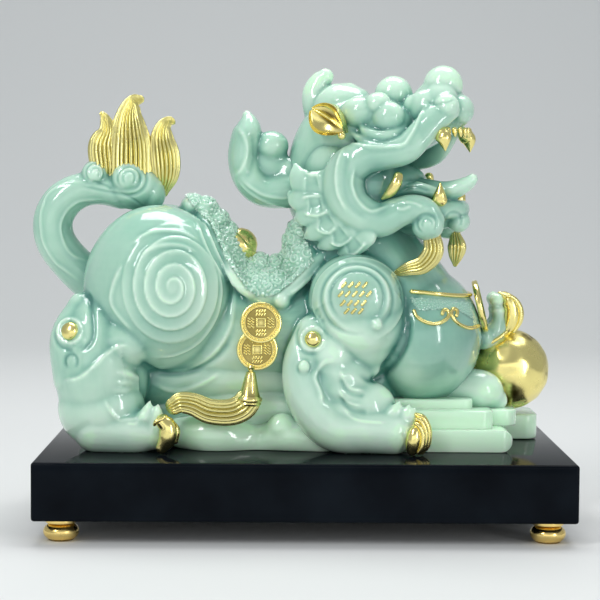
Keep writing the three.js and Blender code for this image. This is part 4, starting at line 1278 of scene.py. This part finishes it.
def pixel_of(place):
    """The pixel where a place in millimetres shows."""
    seen = aim.to_3x3().inverted() @ (Vector(place) - Vector(CAMERA_PLACE))
    middle = PHOTO_PIXELS / 2
    return middle - seen.x / seen.z * FOCAL_PIXELS, middle + seen.y / seen.z * FOCAL_PIXELS


def skin_patch(name, outline):
    """A finer copy of the body's skin inside an outline, on both sides."""
    pick(body)
    for face in body.data.polygons:
        middle = face.center
        face.select = inside(*pixel_of((middle.x, -abs(middle.y), middle.z)), outline)
    bpy.ops.object.mode_set(mode="EDIT")
    bpy.ops.mesh.select_mode(type="FACE")
    bpy.ops.mesh.duplicate()
    bpy.ops.mesh.separate(type="SELECTED")
    bpy.ops.object.mode_set(mode="OBJECT")
    patch = [piece for piece in bpy.context.selected_objects if piece != body][0]
    patch.name = name
    patch.data.name = name
    in_edit_mode(patch, (bpy.ops.mesh.subdivide, {"number_cuts": PATCH_CUTS, "smoothness": 1.0}))
    print(name, "faces:", len(patch.data.polygons))
    return patch


cloth = skin_patch("jade_saddle_relief", CLOTH)
collar = skin_patch("jade_collar_relief", COLLAR)

# %% Curls and beads
PLACE_SEED = 3
BEAD_SEED = 5
TURN_SEED = 7
CURL_LINE = 0.72
CURL_KNOB = 0.85
STAND_OFF = 0.12


def seeds(piece, gap, seed):
    """Vertices in a random order that keep a gap from one another."""
    where = places(piece)
    order = list(range(len(where)))
    random.Random(seed).shuffle(order)
    kept = np.empty((0, 3))
    chosen = []
    for i in order:
        if len(kept) == 0 or np.linalg.norm(kept - where[i], axis=1).min() > gap:
            kept = np.vstack([kept, where[i]])
            chosen.append(i)
    return chosen


def emboss(piece, curl_gap, bead_gap, height):
    """Raises spiral curls, and beads wherever no curl is."""
    where, out = places(piece), normals(piece)
    chance = random.Random(TURN_SEED)
    lift = np.zeros(len(where))
    for i in seeds(piece, curl_gap, PLACE_SEED) if curl_gap else []:
        across = Vector(out[i]).orthogonal().normalized()
        upward = np.cross(out[i], across)
        off = where - where[i]
        near = np.nonzero(np.linalg.norm(off, axis=1) < curl_gap * 0.62)[0]
        u, v = off[near] @ np.array(across), off[near] @ upward
        turn = np.mod(np.arctan2(v, u) * chance.choice((-1, 1)) + chance.uniform(0, 6.28), 2 * math.pi)
        reach = curl_gap * (0.2 + 0.24 * turn / (2 * math.pi))
        away = np.hypot(u, v)
        curl = np.exp(-(((away - reach) / CURL_LINE) ** 2)) + np.exp(-((away / CURL_KNOB) ** 2))
        lift[near] = np.maximum(lift[near], height * curl)
    for i in seeds(piece, bead_gap, BEAD_SEED):
        if lift[i] < 0.3 * height:
            size = bead_gap * chance.uniform(0.32, 0.5)
            gap = np.linalg.norm(where - where[i], axis=1)
            lift = np.maximum(lift, height * np.sqrt(np.clip(1 - (gap / size) ** 2, 0, 1)))
    put(piece, where + out * (lift + STAND_OFF)[:, None])
    print(piece.name, "highest curl, mm:", round(float(lift.max()), 2))


emboss(cloth, curl_gap=7.0, bead_gap=2.6, height=1.1)
emboss(collar, curl_gap=0, bead_gap=1.4, height=0.35)

# %% [markdown]
# ## Plinth and feet
# A lacquered block with small round edges, so that each edge catches one thin line of light,
# on four squashed brass balls with a collar. The block is a cube with its edges bevelled, and a
# foot is turned from a profile. Both take their size from the solid model.

# %% Plinth and feet
PLINTH_EDGE = 1.7


def lacquer_plinth():
    """A bevelled block in place of the solid model's plinth."""
    low, high = (Vector(corner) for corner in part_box("plinth"))
    low = (low - STAND) / MM
    high = (high - STAND) / MM
    deselect()
    bpy.ops.mesh.primitive_cube_add(size=1, location=(low + high) / 2, scale=high - low)
    piece = bpy.context.object
    bpy.ops.object.transform_apply(location=True, scale=True)
    apply_modifier(piece, "BEVEL", width=PLINTH_EDGE, segments=5, limit_method="ANGLE")
    piece.name = "lacquer_plinth"
    return piece


def brass_foot(name):
    """A squashed ball with a collar, turned in place of the solid model's foot."""
    low, high = (Vector(corner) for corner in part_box(name))
    tall = (high.z - low.z) / MM
    wide = (high.x - low.x) / MM / 2
    profile = [(0, 0), (6.4, 0), (7.2, 0.5)]
    for degrees in range(-58, 63, 6):
        turn = math.radians(degrees)
        profile.append((wide * math.cos(turn) ** 0.8, tall * 0.4 + tall * 0.4 * math.sin(turn) / 0.88))
    profile += [(7.6, tall - 2.6), (8.5, tall - 2.2), (8.7, tall - 1.2), (8.5, tall - 0.1), (0, tall)]
    middle = (low + high) / 2
    piece = turned(profile, ((middle.x - STAND.x) / MM, middle.y / MM, (low.z - STAND.z) / MM), steps=72)
    piece.name = "brass_" + name
    return piece


plinth = lacquer_plinth()
feet = {name: brass_foot(name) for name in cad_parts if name.startswith("foot_")}

# %% [markdown]
# ## Finishes
# Jade resin is milky: light goes in and comes out a few millimetres away, thin edges look pale and hollows
# look deep green. Hollows and edges are measured on the mesh, once, and kept as an attribute that the
# colour follows, as painted shade in the hollows and a painted highlight on the edges. Some parts of the
# casting also get painted light or painted shade, which a table of spots lists: a place in millimetres, how
# far it reaches, and how much it lightens or darkens.

# %% Measure hollows and edges


def around(piece, values):
    """For each vertex, the sum of its neighbours' values."""
    edges = np.empty(len(piece.data.edges) * 2, int)
    piece.data.edges.foreach_get("vertices", edges)
    a, b = edges.reshape(-1, 2).T
    size = len(piece.data.vertices)
    return np.bincount(a, values[b], size) + np.bincount(b, values[a], size)


# Painted light and painted shade: each spot lightens (+) or darkens (-) the jade round a place, alike on
# both sides.
PAINTED_LIGHT_AND_SHADE = (
    ((67, -25, 63), 34, -0.6), ((-80, -60, 92), 34, 0.25), ((16, -58, 66), 22, 0.45),
    ((2, -50, 36), 18, -0.45), ((24, -58, 58), 15, 0.4), ((-30, -38, 34), 34, 0.7),
    ((0, -40, 24), 20, 0.5), ((-55, -58, 86), 18, 0.45), ((-90, -38, 36), 9, -0.5),
    ((58, -20, 150), 26, -0.5), ((40, -30, 160), 16, -0.4), ((96, -24, 28), 20, 0.3),
    ((46, -30, 140), 12, -0.4), ((54, -45, 40), 14, 0.85), ((42, -58, 60), 14, 0.35),
    ((-102, -50, 50), 13, 0.45),
)


def painted_light_and_shade_at(where):
    """Painted light on some parts of the casting and painted shade on others, alike on both sides."""
    total = np.zeros(len(where))
    for spot, reach, tone in PAINTED_LIGHT_AND_SHADE:
        level = np.hypot(where[:, 0] - spot[0], np.abs(where[:, 1]) + spot[1])
        gap = np.hypot(level, where[:, 2] - spot[2])
        total += tone * np.exp(-((gap / reach) ** 2))
    return total


SCALE_WEIGHTS = (0.9, 0.28)


def add_painted_shading(piece, rounds=(6, 40), share=1.0, shift=0.0):
    """Stores how hollow (-) or edge-like (+) each vertex is, at a small and a large scale, moved by share
    and shift. Colours follow it as painted shade in hollows and a painted highlight on edges.
    """
    where = places(piece)
    count = np.maximum(around(piece, np.ones(len(where))), 1)
    out = normals(piece)
    smooth = where.copy()
    painted_shading = np.zeros(len(where))
    done = 0
    for stop, weight in zip(rounds, SCALE_WEIGHTS):
        while done < stop:
            smooth = np.stack([around(piece, smooth[:, k]) / count for k in range(3)], axis=1)
            done += 1
        painted_shading += weight * ((where - smooth) * out).sum(axis=1)
    # The colour follows this value: painted shade where it is low, a painted highlight where it is high.
    layer = piece.data.attributes.new("painted_shading", "FLOAT", "POINT")
    layer.data.foreach_set("value", np.clip(painted_shading * share + shift, -2, 2))


# %% [markdown]
# Deep places look darker for a second reason: little light reaches them. Every third vertex
# feels outwards in a fixed set of directions, and how often it meets jade nearby is kept as
# depth. It also feels inwards, to learn how thin the jade is. The rest take their neighbours'.

# %% Measure how shut in each place is
LOOKS = 26
DEPTH_REACH = 36.0
THIN_REACH = 45.0
EVERY = 3
FILL_ROUNDS = 8


def spread_ways(count):
    """Directions spread evenly over a sphere."""
    ways = []
    for i in range(count):
        up = 1 - 2 * (i + 0.5) / count
        turn = math.pi * (1 + math.sqrt(5)) * i
        flat = math.sqrt(1 - up * up)
        ways.append((flat * math.cos(turn), flat * math.sin(turn), up))
    return np.array(ways)


def fill_in(piece, value, known, rounds):
    """Spreads values known at some vertices to their neighbours and evens them out."""
    for _ in range(rounds):
        total = around(piece, value * known) + value * known
        count = around(piece, known) + known
        value = np.where(count > 0, total / np.maximum(count, 1e-6), value)
        known = np.minimum(count, 1.0)
    return value


def add_depth(pieces):
    """Stores depth, 1 where a place is shut in, and thin, 1 where the jade is thin behind it."""
    tree = skin_of(*pieces)
    ways = spread_ways(LOOKS)
    for piece in pieces:
        where, out = places(piece), normals(piece)
        facing = np.maximum(out @ ways.T, 0)
        hidden = np.zeros(len(where))
        sampled = np.zeros(len(where))
        sampled[::EVERY] = 1
        starts = [Vector(start) for start in where + out * 0.5]
        for k, way in enumerate(ways):
            ray = Vector(way)
            for i in np.nonzero((facing[:, k] > 0.1) & (sampled > 0))[0]:
                gap = tree.ray_cast(starts[i], ray, DEPTH_REACH)[3]
                if gap is not None:
                    hidden[i] += facing[i, k] * (1 - gap / DEPTH_REACH)
        depth = hidden / np.maximum(facing.sum(axis=1), 0.1)
        thin = np.zeros(len(where))
        for i in np.nonzero(sampled > 0)[0]:
            gap = tree.ray_cast(Vector(where[i] - out[i]), Vector(-out[i]), THIN_REACH)[3]
            thin[i] = 1 - (gap or THIN_REACH) / THIN_REACH
        # depth darkens the colour as painted shade, and thin lightens it as painted light shining through
        # thin jade.
        for name, value in (("depth", depth), ("thin", thin)):
            layer = piece.data.attributes.new(name, "FLOAT", "POINT")
            layer.data.foreach_set("value", fill_in(piece, value, sampled, FILL_ROUNDS))


# %% Material helpers


def new_material(name, **settings):
    """A Principled material, with all-over values set on the shader's own sockets."""
    material = bpy.data.materials.new(name)
    material.use_nodes = True
    shader = material.node_tree.nodes["Principled BSDF"]
    for socket, value in settings.items():
        shader.inputs[socket.replace("_", " ")].default_value = value
    return material, material.node_tree, shader


def node(tree, kind, **values):
    """A node whose sockets or settings have the given values."""
    made = tree.nodes.new(kind)
    for key, value in values.items():
        if key in made.inputs:
            made.inputs[key].default_value = value
        else:
            setattr(made, key, value)
    return made


def measured(tree, name):
    """What was measured on the mesh and stored under a name."""
    return node(tree, "ShaderNodeAttribute", attribute_name=name).outputs["Fac"]


def ramp(tree, stops):
    """A colour ramp with a stop for each (place, colour)."""
    made = tree.nodes.new("ShaderNodeValToRGB")
    elements = made.color_ramp.elements
    while len(elements) < len(stops):
        elements.new(0.5)
    for element, (place, colour) in zip(elements, stops):
        element.position = place
        element.color = (*colour, 1)
    return made


# %% A surface that all finishes share


def surface_group():
    """Clouding in the colour and fine unevenness of the surface, shared by every finish."""
    group = bpy.data.node_groups.new("casting_surface", "ShaderNodeTree")
    for name, value in (("Cloud Scale", 40.0), ("Grain Scale", 900.0)):
        made = group.interface.new_socket(name, in_out="INPUT", socket_type="NodeSocketFloat")
        made.default_value = value
    for name in ("Cloud", "Grain"):
        group.interface.new_socket(name, in_out="OUTPUT", socket_type="NodeSocketFloat")
    enter = group.nodes.new("NodeGroupInput")
    leave = group.nodes.new("NodeGroupOutput")
    where = group.nodes.new("ShaderNodeTexCoord")
    for name, scale, detail in (("Cloud", "Cloud Scale", 3.0), ("Grain", "Grain Scale", 2.0)):
        texture = node(group, "ShaderNodeTexNoise", Detail=detail)
        group.links.new(where.outputs["Object"], texture.inputs["Vector"])
        group.links.new(enter.outputs[scale], texture.inputs["Scale"])
        group.links.new(texture.outputs["Fac"], leave.inputs[name])
    return group


surface = surface_group()


def add_surface(tree, cloud, grain):
    """The shared surface, with the scale of its clouds and of its grain."""
    made = tree.nodes.new("ShaderNodeGroup")
    made.node_tree = surface
    made.inputs["Cloud Scale"].default_value = cloud
    made.inputs["Grain Scale"].default_value = grain
    return made


# %% Small node helpers


def add_bump(tree, shader, height, strength, distance):
    bump = node(tree, "ShaderNodeBump", Strength=strength, Distance=distance)
    tree.links.new(height, bump.inputs["Height"])
    tree.links.new(bump.outputs["Normal"], shader.inputs["Normal"])


def add(tree, first, second):
    made = node(tree, "ShaderNodeMath", operation="ADD")
    tree.links.new(first, made.inputs[0])
    tree.links.new(second, made.inputs[1])
    return made.outputs[0]


def spread(tree, value, low, high, to_low, to_high):
    """Stretches the range from low to high onto another one, and stops at its ends."""
    made = node(tree, "ShaderNodeMapRange")
    made.inputs["From Min"].default_value = low
    made.inputs["From Max"].default_value = high
    made.inputs["To Min"].default_value = to_low
    made.inputs["To Max"].default_value = to_high
    tree.links.new(value, made.inputs["Value"])
    return made.outputs["Result"]


# %% [markdown]
# ## Jade resin
# One ramp runs from deep teal to nearly white green. What moves a place along it is added up: painted shade
# in a hollow and a painted highlight on an edge, with painted light and shade on some parts; how shut in it
# is, as painted shade; how thin the jade is behind it, as painted light through it; its height, as painted
# light on the low parts, as lit from the pale floor, and on the crown, as lit from above; and a faint
# clouding. Subsurface scattering does the rest.

# %% Jade resin
DEEP_TEAL = (0.07, 0.235, 0.19)
TEAL = (0.18, 0.40, 0.32)
JADE = (0.335, 0.58, 0.455)
PALE_JADE = (0.64, 0.84, 0.69)
RIM_JADE = (0.665, 0.95, 0.69)
# The deepest stops carry painted shade, and the palest carries a painted highlight on edges and the painted
# light of the steps.
JADE_STOPS = ((0.05, DEEP_TEAL), (0.32, TEAL), (0.56, JADE), (0.93, PALE_JADE), (1.0, RIM_JADE))
# A measure, the range of it that counts, and what the ends of the range add: painted shade in hollows and a
# painted highlight on edges, painted shade where a place is shut in, and painted light where the jade is
# thin.
MEASURES = (
    ("painted_shading", -0.9, 0.9, 0.02, 0.9),
    ("depth", 0.05, 0.8, 0.04, -0.42),
    ("thin", 0.1, 0.8, 0.0, 0.12),
)
# Two heights over the plinth in metres, and what each adds: painted light, on the low parts as lit from the
# pale floor and on the crown as lit from above.
PAINTED_HEIGHT_LIGHT = (
    (0.01, 0.06, 0.26, 0.0),
    (0.188, 0.208, 0.0, 0.3),
)


def jade_material():
    """Milky resin whose colour follows what was measured on the mesh."""
    material, tree, shader = new_material(
        "jade_resin", Roughness=0.13, Coat_Weight=0.6, Coat_Roughness=0.04, IOR=1.5,
        Subsurface_Weight=0.45, Subsurface_Scale=0.006, Subsurface_Radius=(0.6, 1.0, 0.75),
    )
    finish = add_surface(tree, cloud=38.0, grain=420.0)
    split = tree.nodes.new("ShaderNodeSeparateXYZ")
    tree.links.new(tree.nodes.new("ShaderNodeTexCoord").outputs["Object"], split.inputs["Vector"])
    shade = spread(tree, finish.outputs["Cloud"], 0.3, 0.7, -0.06, 0.06)
    for name, *ends in MEASURES:
        shade = add(tree, shade, spread(tree, measured(tree, name), *ends))
    for low, high, *ends in PAINTED_HEIGHT_LIGHT:
        height = spread(tree, split.outputs["Z"], STAND.z + low, STAND.z + high, *ends)
        shade = add(tree, shade, height)
    colour = ramp(tree, JADE_STOPS)
    tree.links.new(shade, colour.inputs["Fac"])
    tree.links.new(colour.outputs["Color"], shader.inputs["Base Color"])
    tree.links.new(spread(tree, finish.outputs["Grain"], 0.3, 0.7, 0.1, 0.18), shader.inputs["Roughness"])
    add_bump(tree, shader, finish.outputs["Cloud"], strength=0.06, distance=0.002)
    return material


jade = jade_material()

# %% [markdown]
# ## Gilding, lacquer and brass
# The gilding is metal paint, with painted highlights on its edges and painted shade in its grooves, and
# small patches that shine less. One function makes all of it and the brass, because they differ only in
# colour, in how deep a groove has to be to look dark, and in the size of the patches. Lacquer is nearly
# black and mirrors what stands on it.

# %% Gilding, lacquer and brass
GOLD = (0.84, 0.73, 0.28)
# The darker golds below, and the darker brass, colour the painted shade in grooves and hollows.
SHADED_GOLD = (0.34, 0.27, 0.08)
DARK_GOLD = (0.20, 0.15, 0.035)
PALE_GOLD = (0.70, 0.635, 0.255)
BRASS = (0.83, 0.62, 0.22)
SHADED_BRASS = (0.3, 0.2, 0.06)
BLACK = (0.002, 0.003, 0.005)
SOFT_BLACK = (0.006, 0.009, 0.013)
GLINT = 1.12


def metal_material(name, bright, shade_colour, low, high, grain, metallic=1.0, blotch=0.08, rough=0.2):
    """Gilding or brass: painted shade in its hollows, a painted highlight on its edges, dull in patches.
    low is the measure of hollows and edges at which it is quite dark, and high the one at which it glints."""
    material, tree, shader = new_material(name, Metallic=metallic, Roughness=0.2)
    finish = add_surface(tree, cloud=60.0, grain=grain)
    # Painted shade in the hollows and a painted highlight on the edges, from the measure of hollows and
    # edges.
    light_and_shade = spread(tree, measured(tree, "painted_shading"), low, high, 0.0, 1.0)
    light_and_shade = add(tree, light_and_shade, spread(tree, finish.outputs["Cloud"], 0.3, 0.6, -blotch, blotch))
    glint = tuple(min(1, part * GLINT) for part in bright)
    colour = ramp(tree, ((0.0, shade_colour), (0.5, bright), (1.0, glint)))
    tree.links.new(light_and_shade, colour.inputs["Fac"])
    tree.links.new(colour.outputs["Color"], shader.inputs["Base Color"])
    dull = spread(tree, finish.outputs["Cloud"], 0.3, 0.7, rough + 0.1, rough - 0.05)
    tree.links.new(dull, shader.inputs["Roughness"])
    add_bump(tree, shader, finish.outputs["Grain"], strength=0.08, distance=0.0006)
    return material


def lacquer_material():
    """Black lacquer with a very faint unevenness."""
    material, tree, shader = new_material(
        "black_lacquer", Roughness=0.1, Coat_Weight=0.05, Coat_Roughness=0.03,
        Specular_IOR_Level=0.02,
    )
    finish = add_surface(tree, cloud=30.0, grain=700.0)
    colour = ramp(tree, ((0.3, BLACK), (0.8, SOFT_BLACK)))
    tree.links.new(finish.outputs["Cloud"], colour.inputs["Fac"])
    tree.links.new(colour.outputs["Color"], shader.inputs["Base Color"])
    tree.links.new(spread(tree, finish.outputs["Grain"], 0.3, 0.7, 0.07, 0.14), shader.inputs["Roughness"])
    add_bump(tree, shader, finish.outputs["Cloud"], strength=0.03, distance=0.001)
    return material


gilt = metal_material("gilding", GOLD, SHADED_GOLD, -0.8, 0.3, 500.0)
combed_gilt = metal_material("combed_gilding", PALE_GOLD, DARK_GOLD, -0.62, 0.2, 500.0, metallic=0.85)
face_gilding = metal_material("face_gilding", GOLD, DARK_GOLD, -0.55, 0.15, 500.0)
# The ball's large dark blotches are painted dark reflections, as on polished gold.
ball_gilt = metal_material("ball_gilding", GOLD, DARK_GOLD, -0.3, 0.3, 90.0, blotch=0.9, rough=0.24)
brass = metal_material("polished_brass", BRASS, SHADED_BRASS, -0.6, 0.5, 900.0)
lacquer = lacquer_material()

# %% [markdown]
# ## Floor and light
# A pale, plain floor, two tall soft boxes, a low wide one in front and a large top light. A flat
# floor would end in a line behind the beast, so it curves up into a wall. The long soft
# reflections of the lamps are what make the resin look wet.

# %% Floor and lights
FLOOR_COLOUR = (0.72, 0.73, 0.72)
FLOOR_SIZE = (6, 4, 1, 1)
WALL_HEIGHT = 3
SKY_COLOUR = (0.8, 0.85, 0.9, 1)
SKY_STRENGTH = 0.51
LIGHT_TARGET = (0, 0, 0.15)
LIGHTS = (
    ("key", (-0.8, -1.0, 1.2), (0.25, 0.9), 10),
    ("fill", (1.1, -1.3, 0.45), (0.14, 0.9), 4.5),
    ("low", (0.1, -1.5, 0.3), (2.2, 0.5), 3),
    ("top", (0.1, 0.35, 1.5), (1.3, 0.6), 15),
)


def floor():
    """A plane whose back edge is pulled up into a wall, with a wide bevel between them."""
    deselect()
    bpy.ops.mesh.primitive_plane_add(size=1)
    made = bpy.context.object
    made.name = "floor"
    made.data.transform(Matrix.Diagonal(FLOOR_SIZE))
    select_edges(made, lambda a, b: a.y > 1 and b.y > 1)
    bpy.ops.mesh.extrude_region_move(TRANSFORM_OT_translate={"value": (0, 0, WALL_HEIGHT)})
    bpy.ops.object.mode_set(mode="OBJECT")
    apply_modifier(made, "BEVEL", width=0.9, segments=12, limit_method="ANGLE")
    bpy.ops.object.shade_smooth()
    material, _, _ = new_material("pale_floor", Base_Color=(*FLOOR_COLOUR, 1), Roughness=0.6)
    made.data.materials.append(material)


def soft_light(name, place, size, power):
    """A rectangular lamp that looks at the beast."""
    data = bpy.data.lights.new(name, "AREA")
    data.shape = "RECTANGLE"
    data.size, data.size_y = size
    data.energy = power
    light = bpy.data.objects.new(name, data)
    bpy.context.collection.objects.link(light)
    light.location = place
    light.rotation_euler = (Vector(LIGHT_TARGET) - Vector(place)).to_track_quat("-Z", "Y").to_euler()


floor()
for light in LIGHTS:
    soft_light(*light)
world = bpy.data.worlds.new("studio")
world.use_nodes = True
background = world.node_tree.nodes["Background"]
background.inputs["Color"].default_value = SKY_COLOUR
background.inputs["Strength"].default_value = SKY_STRENGTH
bpy.context.scene.world = world
bpy.context.scene.view_settings.view_transform = "Standard"
print("lights:", [light[0] for light in LIGHTS])

# %% [markdown]
# ## Finishing the pieces
# Every piece is shrunk to metres, moved onto the plinth, smooth shaded and tied to the body.
# Hollows and edges are measured first, because thinning out would blur them.

# %% Helpers for the finish
SHARP_ANGLE = math.radians(50)
MOST_TRIANGLES = 180000
TO_METRES = Matrix.Translation(STAND) @ Matrix.Diagonal((MM, MM, MM, 1))


def triangles(piece):
    """How many triangles a piece has."""
    return sum(len(face.vertices) - 2 for face in piece.data.polygons)


def finish_piece(piece, material):
    """Metres, smooth shading, material and body."""
    pick(piece)
    piece.data.transform(TO_METRES)
    bpy.ops.object.shade_smooth_by_angle(angle=SHARP_ANGLE)
    piece.data.materials.clear()
    piece.data.materials.append(material)
    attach(piece, "root")
    print(piece.name, "triangles:", triangles(piece))


def thin_out(piece):
    """Keeps a piece under the triangle limit by merging its flattest faces."""
    if triangles(piece) > MOST_TRIANGLES:
        apply_modifier(piece, "DECIMATE", ratio=MOST_TRIANGLES / triangles(piece))


# %% Finish the pieces
STRAND_ROUNDS = (4, 10)
FACE_ROUNDS = (4, 50)
jade_pieces = (body, head, tail, ruyi_lock, steps, clouds)
add_depth(jade_pieces)
# Cloth, collar and steps take their own share and shift; the steps' large shift is painted light, as lit
# from the pale floor.
PALER = {
    cloth.name: {"share": 0.7, "shift": 0.35},
    collar.name: {"share": 0.6, "shift": 0.1},
    steps.name: {"share": 0.8, "shift": 0.85},
}
for piece in (*jade_pieces, cloth, collar):
    add_painted_shading(piece, **PALER.get(piece.name, {"shift": painted_light_and_shade_at(places(piece))}))
    thin_out(piece)
    finish_piece(piece, jade)
for piece in (hanging, claws, paw_claws, necklace, bead_pair, gilt_strokes):
    add_painted_shading(piece, STRAND_ROUNDS)
    finish_piece(piece, gilt)
for piece in (tuft, hair, tassel):
    add_painted_shading(piece, STRAND_ROUNDS)
    finish_piece(piece, combed_gilt)
add_painted_shading(gilt_face, FACE_ROUNDS)
finish_piece(gilt_face, face_gilding)
add_painted_shading(gilt_ball)
finish_piece(gilt_ball, ball_gilt)
finish_piece(plinth, lacquer)
for piece in feet.values():
    add_painted_shading(piece)
    finish_piece(piece, brass)
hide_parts("pixiu_figure")
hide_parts("plinth")
for name, piece in feet.items():
    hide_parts(name)
